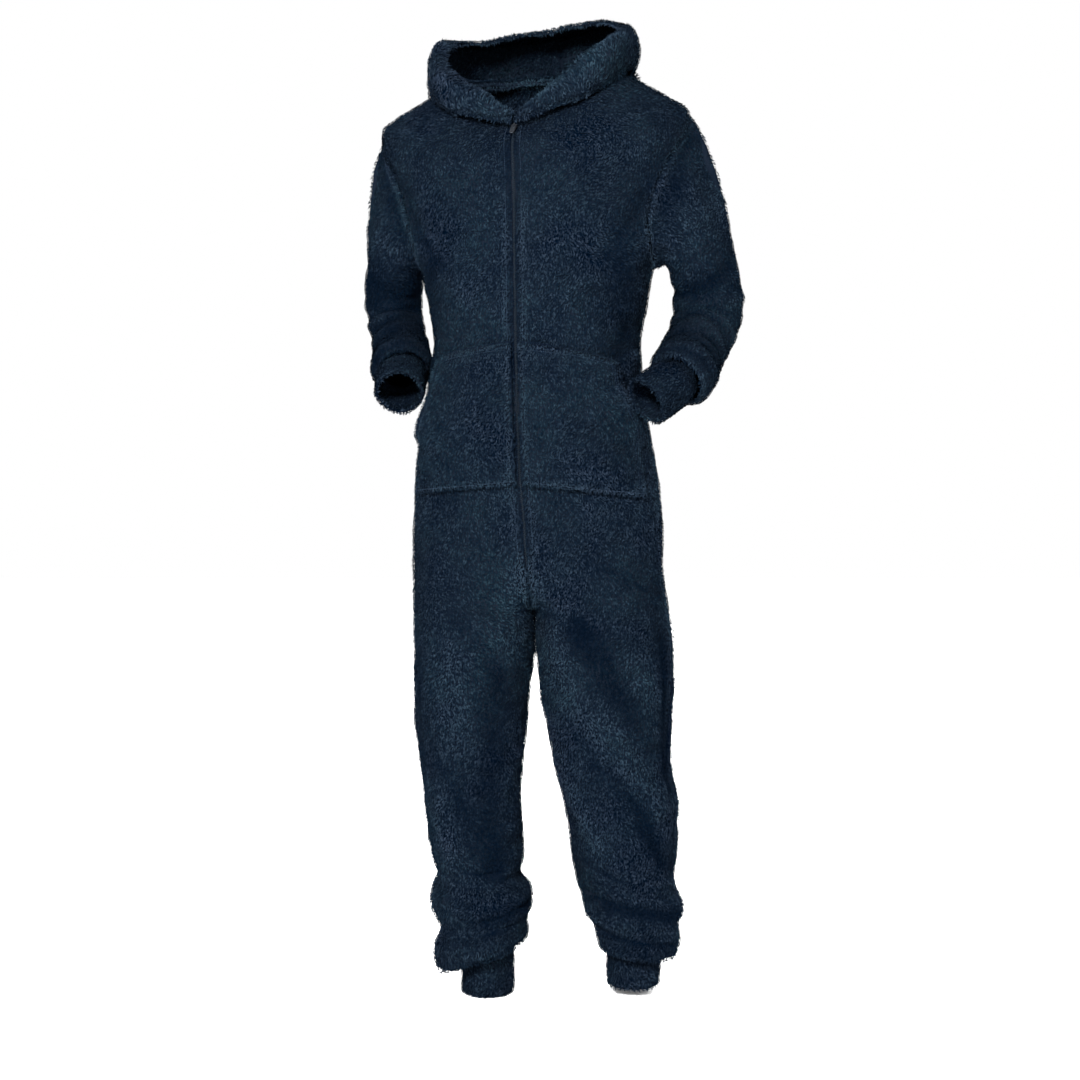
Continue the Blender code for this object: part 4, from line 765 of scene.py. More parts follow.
class Pile:
    """Tufts that grow from a cloth's ground."""

    CLUMP = 0.0042              # between wisps
    TIP_PULL, BEND_PULL = 0.42, 0.12    # how far a tuft is drawn to its wisp
    PATCH, CURL, TUFT = 0.060, 0.014, 0.012     # sizes over which the nap wanders
    EDGE_FAN = 80.0             # degrees that an edge's tufts fan to each side

    def __init__(self, nap: Nap, seed: int) -> None:
        """Starts with no tufts.

        Args:
            nap: how it grows.
            seed: fixes every random choice.
        """
        self.nap = nap
        self.rng = np.random.default_rng(seed)
        self.roots: list[Array] = []
        self.shades: list[Array] = []

    def grow(self, cloth: Cloth, cover: Array | None = None, depth: float = PILE_DEPTH,
             flip: bool = False) -> None:
        """Covers a cloth.

        Args:
            cloth: what it grows from.
            cover: share of tufts kept at each point, which also shortens them.
            depth: of the ground below the cloth's points.
            flip: grow from the inner face instead.
        """
        cover = np.ones(cloth.points.shape[:2]) if cover is None else cover
        grids = (cloth.points, cloth.ways, cloth.welt, cloth.painted_shading, cloth.sink, cover)
        if cloth.tube:
            grids = tuple(np.concatenate((v, v[:, :1]), axis=1) for v in grids)
        points, ways, welt, painted_shading, sink, cover = grids
        ground = points - ways * (depth + sink[..., None])
        if flip:
            ways = -ways
        a, b, c, d = ground[:-1, :-1], ground[:-1, 1:], ground[1:, 1:], ground[1:, :-1]
        area = (norm(np.cross(b - a, c - a), axis=2)
                + norm(np.cross(c - a, d - a), axis=2)) / 2
        kept = (cover[:-1, :-1] + cover[1:, 1:]) / 2
        total = np.cumsum((area * kept).ravel())
        count = int(total[-1] / self.nap.spacing**2)
        if count < 1:
            return
        pick = (np.arange(count) + self.rng.random(count)) / count * total[-1]
        cell = np.minimum(np.searchsorted(total, pick), area.size - 1)
        i, j = np.divmod(cell, area.shape[1])
        u, v = self.rng.random(count), self.rng.random(count)

        def spread(grid: Array) -> Array:
            """A grid's values at the roots.

            Args:
                grid: values at the cloth's points.
            Returns:
                One for each root.
            """
            extra = (slice(None),) + (None,) * (grid.ndim - 2)
            s, t = u[extra], v[extra]
            return ((1 - t) * ((1 - s) * grid[i, j] + s * grid[i, j + 1])
                    + t * ((1 - s) * grid[i + 1, j] + s * grid[i + 1, j + 1]))

        # A tuft's way out leans off the cloth's own flat, so that none lies down inside a crease.
        root, way = spread(ground), unit(spread(ways))
        flat = np.cross(b - d, c - a)[i, j]
        flat = unit(flat * np.sign(np.sum(flat * way, axis=1, keepdims=True)))
        way = unit(way + 2 * flat * np.sum(flat * way, axis=1, keepdims=True) ** 2)
        down = ground[i + 1, j] - ground[i, j] + ground[i + 1, j + 1] - ground[i, j + 1]
        over = ground[i, j + 1] - ground[i, j] + ground[i + 1, j + 1] - ground[i + 1, j]
        down = unit(down - np.sum(down * way, axis=1, keepdims=True) * way)
        over = unit(np.cross(way, down) * np.sign(np.sum(np.cross(way, down) * over, axis=1,
                                                         keepdims=True)))
        self._lay(root, way, down, over, spread(cover), spread(welt), spread(painted_shading))

    def fringe(self, line: Array, off: Array, way: Array, spacing: float = 0.0022,
               droop: float = 0.0) -> None:
        """Tufts that wrap over a free edge.

        Args:
            line: points along the middle of the edge.
            off: ways off the edge, along the cloth.
            way: outward ways of the cloth there.
            spacing: between tufts along the edge.
            droop: degrees by which they turn to the inner face, on average.
        """
        lengths = walk(line)
        count = int(lengths[-1] / spacing)
        at = (np.arange(count) + self.rng.random(count)) / count * lengths[-1]
        angle = np.radians(self.rng.uniform(-self.EDGE_FAN, self.EDGE_FAN, count) - droop)[:, None]
        off, way = (unit(read_along(at, lengths, v)) for v in (off, way))
        normal = unit(off * np.cos(angle) + way * np.sin(angle))
        down = unit(off * np.sin(-angle) + way * np.cos(angle)) * np.sign(np.sin(-angle) + 1e-6)
        down = unit(-down * np.abs(np.sin(angle)) + off * 0.3)
        down = unit(down - np.sum(down * normal, axis=1, keepdims=True) * normal)
        # Edge tufts get a mild painted highlight through the welt and painted shading channels.
        cover, welt, painted_shading = (np.full(count, v) for v in (0.9, 0.5, 0.3))
        self._lay(read_along(at, lengths, line), normal, down, np.cross(normal, down), cover, welt,
                  painted_shading)

    def _lay(self, root: Array, way: Array, down: Array, over: Array, cover: Array,
             welt: Array, painted_shading: Array) -> None:
        """Adds tufts, each a stem and a blade with a bend between them.

        Args:
            root: where they grow.
            way: their ways out.
            down: their ways down the nap.
            over: their ways across it.
            cover: how full the pile is there, which lengthens them.
            welt: how much a seam's raised edge is there, which is also painted as a highlight.
            painted_shading: painted shade from -1 in a trough to a painted highlight at 1 on a
                ridge.
        """
        nap, rng, count = self.nap, self.rng, len(root)
        turn = np.radians(nap.swirl * waves(root, self.PATCH, 11)
                          + nap.swirl * 1.1 * waves(root, self.CURL, 12)
                          + rng.normal(0, 15, count))
        comb = down * np.cos(turn)[:, None] + over * np.sin(turn)[:, None]
        side = np.cross(way, comb)
        size = (0.72 + 0.56 * rng.random(count)) * (0.45 + 0.55 * cover) * (1 - 0.12 * welt)
        length = (nap.length * size)[:, None]
        width = (nap.width * (0.75 + 0.5 * rng.random(count)))[:, None]
        rise = np.radians(nap.rise + rng.normal(0, 8, count)
                          + 8 * waves(root, self.TUFT, 13))[:, None]
        lie = np.radians(nap.lie + rng.normal(0, 6, count) + 10 * welt)[:, None]
        bend = root + length * 0.46 * (comb * np.cos(rise) + way * np.sin(rise))
        tip = bend + length * 0.58 * (comb * np.cos(lie) + way * np.sin(lie))
        # Neighbouring tips draw together into wisps.
        cell = np.floor(tip / self.CLUMP)
        jitter = np.sin(cell @ np.array((12.9898, 78.233, 37.719)))[:, None] * 43758.5453
        centre = (cell + 0.5 + 0.35 * np.sin(jitter * np.array((1.0, 1.7, 2.3)))) * self.CLUMP
        pull = centre - tip
        pull -= np.sum(pull * way, axis=1, keepdims=True) * way * 0.8
        tip = tip + pull * self.TIP_PULL
        bend = bend + pull * self.BEND_PULL
        left, right = bend - side * width / 2, bend + side * width / 2
        shade = 0.65 * rng.random(count) + 0.35 * (0.5 + 0.5 * np.sin(jitter[:, 0] * 3.1))
        self.roots.append(np.stack((root, left, right, tip), axis=1))
        along = np.broadcast_to(np.array((0.0, 0.6, 0.6, 1.0)), (count, 4))
        self.shades.append(np.stack((along, *(np.repeat(v[:, None], 4, 1) for v in (
            shade, welt, 0.5 + 0.5 * painted_shading))), axis=2))

    def build(self, name: str, finish: Material) -> Object:
        """One mesh of every tuft laid so far.

        Args:
            name: the object's.
            finish: its material.
        Returns:
            The object, whose pile attribute holds how far along its tuft each corner is, the
            tuft's shade, its welt and its relief, which is painted shade and highlight.
        """
        roots = np.concatenate(self.roots)
        base = np.arange(len(roots))[:, None] * 4
        faces = np.concatenate((base + (0, 2, 1), base + (1, 2, 3)))
        made = lay_mesh(name, roots.reshape(-1, 3), faces, finish)
        shades = made.data.attributes.new("pile", "FLOAT_COLOR", "POINT")
        shades.data.foreach_set("color", np.concatenate(self.shades).astype(np.float32).ravel())
        return made


# ---- finishes
class Socket:
    """A shader socket or number, with arithmetic that adds Math nodes."""

    def __init__(self, finish: "Finish", value: object) -> None:
        """Takes the finish whose nodes it belongs to, and a node's output or a number."""
        self.finish = finish
        self.value = value

    def _math(self, operation: str, *others: object) -> "Socket":
        """A Math node on this and others."""
        return self.finish.node("ShaderNodeMath", {"operation": operation}, [self, *others])[0]

    def __add__(self, other: object) -> "Socket":
        """The sum."""
        return self._math("ADD", other)

    def __sub__(self, other: object) -> "Socket":
        """The difference."""
        return self._math("SUBTRACT", other)

    def __mul__(self, other: object) -> "Socket":
        """The product."""
        return self._math("MULTIPLY", other)

    def __pow__(self, other: object) -> "Socket":
        """The power."""
        return self._math("POWER", other)

    __radd__ = __add__
    __rmul__ = __mul__

    def __rsub__(self, other: object) -> "Socket":
        """The difference, from a number."""
        return Socket(self.finish, other)._math("SUBTRACT", self)

    def sine(self) -> "Socket":
        """Its sine."""
        return self._math("SINE")

    def above(self, low: float, high: float) -> "Socket":
        """0 below low, 1 above high and straight between."""
        return self.finish.node("ShaderNodeMapRange", {"clamp": True},
                                {"Value": self, "From Min": low, "From Max": high})[0]


class Finish:
    """A material under construction, on one Principled shader."""

    def __init__(self, name: str) -> None:
        """Makes the material.

        Args:
            name: the material's.
        """
        self.material = bpy.data.materials.new(name)
        self.material.use_nodes = True
        self.nodes = self.material.node_tree.nodes
        self.links = self.material.node_tree.links
        self.shader = self.nodes["Principled BSDF"]

    def node(self, kind: str, settings: dict | None = None,
             inputs: dict | list | None = None) -> list[Socket]:
        """Adds a node.

        Args:
            kind: its type.
            settings: attributes, set first.
            inputs: values or sockets by name or by place.
        Returns:
            Its outputs.
        """
        made = self.nodes.new(kind)
        for key, value in (settings or {}).items():
            setattr(made, key, value)
        pairs = inputs.items() if isinstance(inputs, dict) else enumerate(inputs or [])
        for key, value in pairs:
            self._set(made.inputs[key], value)
        return [Socket(self, out) for out in made.outputs if out.enabled]

    def _set(self, target: NodeSocket, value: object) -> None:
        """Links or sets one input.

        Args:
            target: the input.
            value: a Socket, a node's output, a number or a colour.
        """
        value = value.value if isinstance(value, Socket) else value
        if isinstance(value, NodeSocket):
            self.links.new(value, target)
        elif isinstance(value, tuple) and len(value) == 3 and target.type == "RGBA":
            target.default_value = (*value, 1.0)
        else:
            target.default_value = value

    def mix(self, factor: object, first: object, second: object, blend: str = "MIX") -> Socket:
        """A colour Mix.

        Args:
            factor: share of the second.
            first: colour.
            second: colour.
            blend: Blender's blend type.
        Returns:
            The mixed colour.
        """
        made = self.nodes.new("ShaderNodeMix")
        made.data_type, made.blend_type = "RGBA", blend
        for name, value in (("Factor_Float", factor), ("A_Color", first), ("B_Color", second)):
            target = next(s for s in made.inputs if s.identifier == name)
            self._set(target, value)
        return Socket(self, next(s for s in made.outputs if s.identifier == "Result_Color"))

    def coordinates(self) -> Socket:
        """Object coordinates, in metres."""
        return self.node("ShaderNodeTexCoord")[3]

    def stretched(self, scale: Triple) -> Socket:
        """Object coordinates, scaled on each axis."""
        return self.node("ShaderNodeVectorMath", {"operation": "MULTIPLY"},
                         [self.coordinates(), scale])[0]

    def noise(self, scale: float, detail: float = 3.0, vector: Socket | None = None,
              roughness: float = 0.55) -> Socket:
        """A noise from 0 to 1 with so many humps a metre, at the object's or other coordinates."""
        vector = vector or self.coordinates()
        return self.node("ShaderNodeTexNoise", {}, {"Vector": vector, "Scale": scale,
                                                   "Detail": detail, "Roughness": roughness})[0]

    def bump(self, height: Socket, strength: float, distance: float) -> None:
        """A bump on the shader's normal."""
        normal = self.node("ShaderNodeBump", {}, {"Height": height, "Strength": strength,
                                                 "Distance": distance})[0]
        self.surface(Normal=normal)

    def surface(self, **values: object) -> None:
        """Sets or links the shader's sockets, with underscores for spaces."""
        for key, value in values.items():
            self._set(self.shader.inputs[key.replace("_", " ")], value)


@dataclass(frozen=True)
class Fleece:
    """Navy long-pile fleece: its tufts, or the knitted ground under them."""
    name: str
    # The roots' colour is painted shade, deep in the pile where the tufts shade each other.
    dark: Triple = (0.0002, 0.0012, 0.0034)  # colour at the roots
    light: Triple = (0.0136, 0.0200, 0.0315)  # colour at the tips
    green: Triple = (0.0102, 0.0203, 0.0284)  # colour that some patches lean to
    ground: bool = False  # whether it is the ground, with no tufts

    def build(self) -> Material:
        """Adds its nodes.

        Returns:
            The material.
        """
        f = Finish(self.name)
        patches = f.noise(9.0, 3.0).above(0.34, 0.66)
        clouds = f.noise(26.0, 4.0).above(0.30, 0.70)
        streak = f.noise(1.0, 4.0, f.stretched((620.0, 620.0, 210.0))).above(0.30, 0.70)
        crinkle = f.noise(420.0, 4.0, roughness=0.65).above(0.32, 0.68)
        if self.ground:
            # Painted shade: the ground under the tufts stays dark, between the roots' colour and a
            # third of the tips'.
            tips = f.mix(patches, self.dark, tuple(0.35 * c for c in self.light))
            colour = f.mix(crinkle * 0.5, tips, self.dark)
            f.surface(Base_Color=colour, Roughness=0.95 - 0.1 * crinkle)
        else:
            pile, _, _, painted_shading = f.node("ShaderNodeAttribute", {"attribute_name": "pile"})
            along, shade, welt = f.node("ShaderNodeSeparateColor", {}, [pile])
            tint = f.mix(patches, self.light, self.green)
            # Painted shade and highlight: each tuft darkens towards its root, the painted shading
            # channel darkens troughs, seams and grooves and lightens ridges, and welts add a
            # painted highlight.
            bright = 0.05 + 0.16 * clouds + shade ** 2.2 + 0.60 * welt
            lift = (0.10 + 0.90 * along) * bright * (0.24 + 1.52 * painted_shading)
            colour = f.mix(lift, self.dark, tint)
            colour = f.mix(0.30 * streak, colour, self.dark)
            f.surface(Base_Color=colour, Roughness=0.72 + 0.2 * streak)
        f.surface(Sheen_Weight=0.006, Sheen_Roughness=0.42, Sheen_Tint=(0.30, 0.52, 0.85, 1.0),
                  Specular_IOR_Level=0.0)
        f.bump(crinkle + 0.6 * streak, 0.5, 0.0006)
        return f.material


@dataclass(frozen=True)
class Woven:
    """Narrow woven or moulded zip cloth."""
    name: str
    colour: Triple = (0.0012, 0.0024, 0.0044)  # its base
    rib: float = 2200.0  # ribs for each metre
    gloss: float = 0.62  # its roughness

    def build(self) -> Material:
        """Adds its nodes.

        Returns:
            The material.
        """
        f = Finish(self.name)
        x, _, z = f.node("ShaderNodeSeparateXYZ", {}, [f.coordinates()])
        ribs = ((z * self.rib).sine() * 0.5 + 0.5) * ((x * self.rib * 1.3).sine() * 0.25 + 0.75)
        wear = f.noise(160.0, 3.0)
        lighter = tuple(2.1 * c for c in self.colour)
        colour = f.mix(ribs * 0.6 + 0.3 * wear, self.colour, lighter)
        f.surface(Base_Color=colour, Roughness=self.gloss + 0.15 * wear, Specular_IOR_Level=0.05)
        f.bump(ribs, 0.4, 0.0003)
        return f.material


@dataclass(frozen=True)
class Gunmetal:
    """Dark plated zinc, rubbed a little lighter where it is handled."""
    name: str
    colour: Triple = (0.030, 0.035, 0.043)  # its base

    def build(self) -> Material:
        """Adds its nodes.

        Returns:
            The material.
        """
        f = Finish(self.name)
        rubbed = f.noise(240.0, 4.0).above(0.40, 0.75)
        scratch = f.noise(1.0, 3.0, f.stretched((1800.0, 1800.0, 240.0)))
        colour = f.mix(rubbed * 0.5, self.colour, tuple(2.2 * c for c in self.colour))
        f.surface(Base_Color=colour, Roughness=0.30 + 0.22 * scratch, Metallic=0.92)
        f.bump(scratch, 0.12, 0.0002)
        return f.material


# ---- sub-assemblies
@dataclass
class Finishes:
    """The materials, made once."""
    pile: Material
    cuff_pile: Material
    ground: Material
    tape: Material
    coil: Material
    thread: Material
    metal: Material


@dataclass(frozen=True)
class Cut:
    """What a piece was cut to: widest, longest, and the cloth in it."""
    width: float
    length: float
    area: float


def put_on(made: Object, stands_for: str | None = None) -> None:
    """Puts a piece on the garment's body.

    Args:
        made: the piece.
        stands_for: the solid that it takes the place of, if any.
    """
    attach(made, ROOT)
    if stands_for:
        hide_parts(stands_for)


@dataclass
class Piece:
    """A sewn piece: its shell and its pile."""
    node: str  # the solid that it stands for
    hangs_from: list[str] = field(default_factory=list)  # what it hangs from or lies on, not used
    held: str = "hung"  # how it is held, not used
    slot: str = "fleece"  # the record's material slot

    def make(self, cloth: Cloth, pile: Pile, finishes: Finishes) -> None:
        """Builds the shell and the pile and puts both on the garment.

        Args:
            cloth: the piece's face.
            pile: what grows on it.
            finishes: the materials.
        """
        cuff = self.slot == "cuff_fleece"
        ground = shell(f"{self.node}_cloth", thinned(cloth), finishes.ground)
        fur = pile.build(f"{self.node}_pile", finishes.cuff_pile if cuff else finishes.pile)
        put_on(ground, self.node)
        put_on(fur)


def top_fringes(pile: Pile, cloth: Cloth) -> None:
    """Adds two fringes over a cloth's top edge, the second turned inward."""
    middle = cloth.points[0] - cloth.ways[0] * (GROUND_MIDDLE + cloth.sink[0][:, None])
    for droop in (0.0, 40.0):
        pile.fringe(middle, unit(cloth.points[0] - cloth.points[1]), cloth.ways[0], 0.0018, droop)


@dataclass
class Panels:
    """The fronts and backs, each in one length from the shoulder to the ankle."""
    finishes: Finishes
    step: float = 0.0062  # from row to row
    columns: int = 46
    front_spacing: float = 0.0024  # between tufts
    back_spacing: float = 0.0029

    def levels(self) -> Array:
        """Spaces a panel's rows.

        Returns:
            Ring levels, evenly spaced down the cloth.
        """
        fine = np.linspace(0, ANKLE_LEVEL, 1281)
        lengths = walk(PLAIN.place(1, Face.FRONT, fine, np.full_like(fine, 0.55))[0])
        count = int(round(lengths[-1] / self.step))
        return np.interp(np.linspace(0, lengths[-1], count + 1), lengths, fine)

    def cloth(self, side: int, face: Face) -> Cloth:
        """One panel's face.

        Args:
            side: 1 for left, -1 for right.
            face: front or back panel.
        Returns:
            Its cloth, creased and sewn.
        """
        level, share = np.meshgrid(self.levels(), np.linspace(0, 1, self.columns + 1),
                                   indexing="ij")
        points = (CREASED.panel(side, face, level, share)
                  + self.middle_shift(side, face, level, share))
        angle = CREASED.place(side, face, level, share)[1]
        cloth = Cloth(self.eased_crotch(points, level, share),
                      CREASED.outward(side, face, level, share))
        # Painted shading: the folds' troughs are painted darker and their ridges lighter.
        cloth.painted_shading = np.clip(CREASED.fold_height(side, level, angle) / 0.0055, -1, 1)
        cloth.ruffle(0.022, 0.0011, 3)
        cloth.sew("first", weight=np.where(level < CROTCH_LEVEL, 1.0, 0.7))
        if face is Face.FRONT:
            line = cloth.distances()["first"] - STITCH_LINE
            beyond_zip = 1.0    # so far from the row of stitches that the groove ends
            cloth.groove(np.where(level < ZIP_END_LEVEL, line, line + beyond_zip), 0.0010, 0.0026)
        cloth.sew("last")
        cloth.sew("top", depth=0.0010, swell=0.0004)
        return cloth

    @staticmethod
    def eased_crotch(points: Array, level: Array, share: Array) -> Array:
        """Softens the rows where the legs part, but for the middle seams.

        Args:
            points: the panel's grid.
            level: ring levels.
            share: 0 at the middle seam, 1 at the side seam.
        Returns:
            The grid.
        """
        weight = (0.5 * np.exp(-((level - CROTCH_LEVEL) / 1.1) ** 2)
                  * smooth_step(share / 0.16))[1:-1, :, None]
        for _ in range(50):
            points[1:-1] += weight * ((points[2:] + points[:-2]) / 2 - points[1:-1])
        return points

    @staticmethod
    def middle_shift(side: int, face: Face, level: Array, share: Array) -> Array:
        """How the middle edge stays clear of the zip, and how the thighs press together.

        Args:
            side: 1 for left, -1 for right.
            face: front or back panel.
            level: ring levels.
            share: 0 at the middle seam, 1 at the side seam.
        Returns:
            Steps to add to the panel's points.
        """
        turn = BODY.at(level, "turn")
        x, y = turned(np.full_like(level, float(side)), np.zeros_like(level), turn)
        sideways = np.stack((x, y, np.zeros_like(x)), axis=-1)
        closed = smooth_step((level - ZIP_END_LEVEL) / 0.4)
        half_gap = np.where(face is Face.FRONT,
                            ZIP_OPENING / 2 * (1 - closed) + SEAM_GAP / 2 * closed, SEAM_GAP / 2)
        half_gap = np.where(level >= CROTCH_LEVEL, 0.0, half_gap)
        pressed = (0.0042 * smooth_step((level - CROTCH_LEVEL) / 0.4)
                   * np.exp(-((level - CROTCH_LEVEL - 0.5) / 1.0) ** 2))
        shift = (half_gap * np.clip(1 - share / 0.10, 0, 1)
                 - pressed * np.clip(1 - share / 0.45, 0, 1))
        return sideways * shift[..., None]

    def build(self) -> None:
        """Makes the four panels."""
        for name, side in SIDES.items():
            for face in Face:
                node = f"{face.value}_{name}"
                cloth = self.cloth(side, face)
                front = face is Face.FRONT
                pile = Pile(Nap(spacing=self.front_spacing if front else self.back_spacing),
                            100 + side + 10 * (not front))
                pile.grow(cloth, self.front_cover(cloth) if front else None)
                pile.grow(cloth, self.inside_cover(cloth), depth=WALL, flip=True)
                top_fringes(pile, cloth)
                Piece(node).make(cloth, pile, self.finishes)

    @staticmethod
    def front_cover(cloth: Cloth) -> Array:
        """A front's pile, which is thinner beside the zip."""
        return np.clip(0.65 + cloth.distances()["first"] / 0.009, 0, 1)

    def inside_cover(self, cloth: Cloth) -> Array:
        """The pile of a panel's inner face, where the neck opening shows it."""
        level = np.broadcast_to(self.levels()[:, None], cloth.points.shape[:2])
        return np.where(level < 5.0, 1.0 - smooth_step((level - 3.5) / 1.5), 0.0)


@dataclass
class Sleeves:
    """The set-in sleeves, full at the elbow and gathered at the wrist."""
    finishes: Finishes
    stations: tuple[float, ...] = (0.0, 0.5, 1.0, 1.5, 2.0, 2.5, 3.0, 3.6, 4.2, 4.8, 5.3, 5.8, 6.3,
                                   6.8, 7.3, 7.7, 8.0)
    rise_rows: int = 7  # of the guiding rings, from the armhole to station 0
    stops: int = 8  # of each guiding ring, from the shoulder to the underarm
    around: int = 80  # points to a ring of the cloth
    rows: int = 108
    # By how much painted shade darkens each one's pile.
    shaded: dict[str, float] = field(default_factory=lambda: {"left": 0.25, "right": 0.95})

    def armhole(self, side: int) -> tuple[Array, Array]:
        """The armhole that a sleeve is set in.

        Args:
            side: 1 for left, -1 for right.
        Returns:
            Points round it, and the way that the cloth heads at each.
        """
        turns = np.arange(2 * self.stops)
        drop = (UNDERARM_LEVEL - SHOULDER_LEVEL) * (1 - np.abs(turns - self.stops) / self.stops)
        level, front = SHOULDER_LEVEL + drop, (turns <= self.stops)[:, None]
        ones = np.ones_like(level)
        points, normals = (np.where(front, of(side, Face.FRONT, level, ones),
                                    of(side, Face.BACK, level, ones))
                           for of in (PLAIN.panel, PLAIN.outward))
        along = unit(np.roll(points, -1, axis=0) - np.roll(points, 1, axis=0))
        ahead = unit(np.cross(along, normals)) * -side
        ease = SHOULDER_EASE * (1 + np.cos(np.pi * turns / self.stops)) / 2
        return points, unit(ahead + self.outermost(side) * ease[:, None])

    @staticmethod
    def outermost(side: int) -> Array:
        """Level, and straight out over one shoulder."""
        return np.array((*turned(side, 0.0, float(BODY.at(SHOULDER_LEVEL, "turn"))), 0.0))

    @classmethod
    def frames(cls, name: str, stations: Array) -> tuple[Array, Array, Array, Array]:
        """The middle line of an arm.

        Args:
            name: left or right.
            stations: where it is read.
        Returns:
            Centres, and the ways along the arm, out from the body and to the front.
        """
        fine = np.linspace(0, 8, 161)
        centres = np.stack(ARM[name].at(fine, "x", "y", "z"), axis=1)
        tangents = unit(np.gradient(centres, axis=0))
        out = cls.outermost(SIDES[name])
        outs = []
        for tangent in tangents:
            out = unit(out - np.dot(out, tangent) * tangent)
            outs.append(out)
        centre, tangent, out = (read_along(stations, fine, v)
                                for v in (centres, tangents, np.array(outs)))
        tangent, out = unit(tangent), unit(out)
        return centre, tangent, out, unit(np.cross(tangent, out)) * SIDES[name]

    def rings(self, name: str) -> tuple[Array, Array]:
        """A sleeve's guiding rings, from the armhole to the wrist.

        Args:
            name: left or right.
        Returns:
            Rings of points, and their stations.
        """
        side = SIDES[name]
        start, heading = self.armhole(side)
        stations = np.array(self.stations)
        centre, tangent, out, forward = self.frames(name, stations)
        half_out, half_deep = ARM[name].at(stations, "out", "deep")
        angle = np.pi * np.arange(2 * self.stops) / self.stops
        arm = (centre[:, None] + out[:, None] * (half_out[:, None] * np.cos(angle))[..., None]
               + forward[:, None] * (half_deep[:, None] * np.sin(angle))[..., None])
        first, along = arm[0], tangent[0]
        with_cloth = ((1 + np.cos(angle)) / 2)[:, None]
        leave = unit(heading * with_cloth + along * (1 - with_cloth))
        reach = norm(first - start, axis=1)[:, None]
        t = (np.arange(self.rise_rows) / self.rise_rows)[:, None, None]
        begin = start + leave * SEAM_GAP * 1.5
        rise = ((2 * t**3 - 3 * t**2 + 1) * begin + (t**3 - 2 * t**2 + t) * reach * leave
                + (3 * t**2 - 2 * t**3) * first + (t**3 - t**2) * reach * along)
        up = ARMHOLE_STATION * (1 - np.arange(self.rise_rows) / self.rise_rows)
        return np.concatenate((rise, arm)), np.concatenate((up, stations))

    def cloth(self, name: str) -> Cloth:
        """One sleeve's face.

        Args:
            name: left or right.
        Returns:
            Its cloth, creased and sewn, with a row turned in at the armhole.
        """
        rings, stations = self.rings(name)
        step = norm(np.diff(rings, axis=0), axis=2).mean(axis=1)
        walked = np.concatenate(([0], np.cumsum(step)))
        at = np.interp(np.linspace(0, walked[-1], self.rows + 1), walked, np.arange(len(rings)))
        points = curve_through(rings, at)
        turn = np.arange(self.around) / self.around * 2 * self.stops
        points = curve_through(points.transpose(1, 0, 2), turn, loop=True).transpose(1, 0, 2)
        points = eased(points, 3)
        station = np.interp(at, np.arange(len(rings)), stations)
        pace = norm(np.gradient(points, axis=0), axis=2) / np.gradient(station)[:, None]
        angle = 360 * np.arange(self.around)[None, :] / self.around
        height = self.crease_height(name, station[:, None], angle, np.maximum(pace, 0.002))
        ways = unit(eased(tube_ways(points), 3))
        cloth = Cloth(points + ways * height[..., None], ways, tube=True)
        creased = tube_ways(cloth.points)
        agree = np.clip((creased * ways).sum(axis=2, keepdims=True), 0, 1)
        cloth.ways = unit(ways + creased * agree**2)
        # Painted shading from the creases at full height, even where the cloth itself is softened,
        # and painted shade that deepens below the shoulder and covers the rest of each sleeve.
        painted_crease_height = self.crease_height(name, station[:, None], angle, np.full_like(pace, 0.040))
        shaded = self.shaded[name] * smooth_step((station + 2.0) / 2.4)
        cloth.painted_shading = np.clip(painted_crease_height / 0.0042 - shaded[:, None], -1, 1)
        cloth.ruffle(0.022, 0.0012, 5)
        cloth.sew("top")
        cloth.sew("bottom", depth=0.0014, swell=0.0006)
        turned_in = cloth.points[:1] + unit(cloth.points[:1] - cloth.points[1:2]) * 0.003
        turned_in = turned_in - cloth.ways[:1] * 0.0012
        longer = Cloth(np.concatenate((turned_in, cloth.points)),
                       np.concatenate((cloth.ways[:1], cloth.ways)), True)
        longer.welt = np.concatenate((cloth.welt[:1], cloth.welt))
        longer.painted_shading = np.concatenate((cloth.painted_shading[:1], cloth.painted_shading))
        return longer

    @staticmethod
    def crease_height(name: str, station: Array, angle: Array, pace: Array) -> Array:
        """How far a sleeve's creases lift its cloth.

        Args:
            name: left or right.
            station: along the arm.
            angle: degrees round it.
            pace: metres of cloth to a station.
        Returns:
            Metres, less than 0 in a trough.
        """
        height = np.zeros(np.broadcast_shapes(station.shape, angle.shape))
        for middle, at, half, drift, width, rise in SLEEVE_CREASES[name]:
            off = (angle - at + 180) % 360 - 180
            line = middle + drift * off / half
            fade = np.exp(-(off / half) ** 4) * np.clip(pace / 0.030, 0, 1)
            broad = np.maximum(width, 0.0095 / pace)
            height = height + rise / MM * fade * np.exp(-((station - line) / broad) ** 2)
        # Small gathers where the wrist seam draws it in.
        gathers = np.sin(np.radians(angle) * 15 + 0.9 * np.sin(np.radians(angle) * 4))
        drawn = smooth_step((station - 7.1) / 0.6) * (1 - 0.5 * smooth_step((station - 7.8) / 0.2))
        return height + 0.0013 * gathers * drawn

    def build(self) -> None:
        """Makes both sleeves."""
        for name, side in SIDES.items():
            cloth = self.cloth(name)
            pile = Pile(Nap(swirl=26, spacing=0.0025), 200 + side)
            pile.grow(cloth)
            seam, ways = (np.concatenate((v[1], v[1, :1])) for v in (cloth.points, cloth.ways))
            ahead = np.concatenate((cloth.points[2], cloth.points[2, :1]))
            for depth in (0.0022, 0.0036):
                pile.fringe(seam - ways * depth, unit(seam - ahead), ways)
            Piece(f"sleeve_{name}").make(cloth, pile, self.finishes)


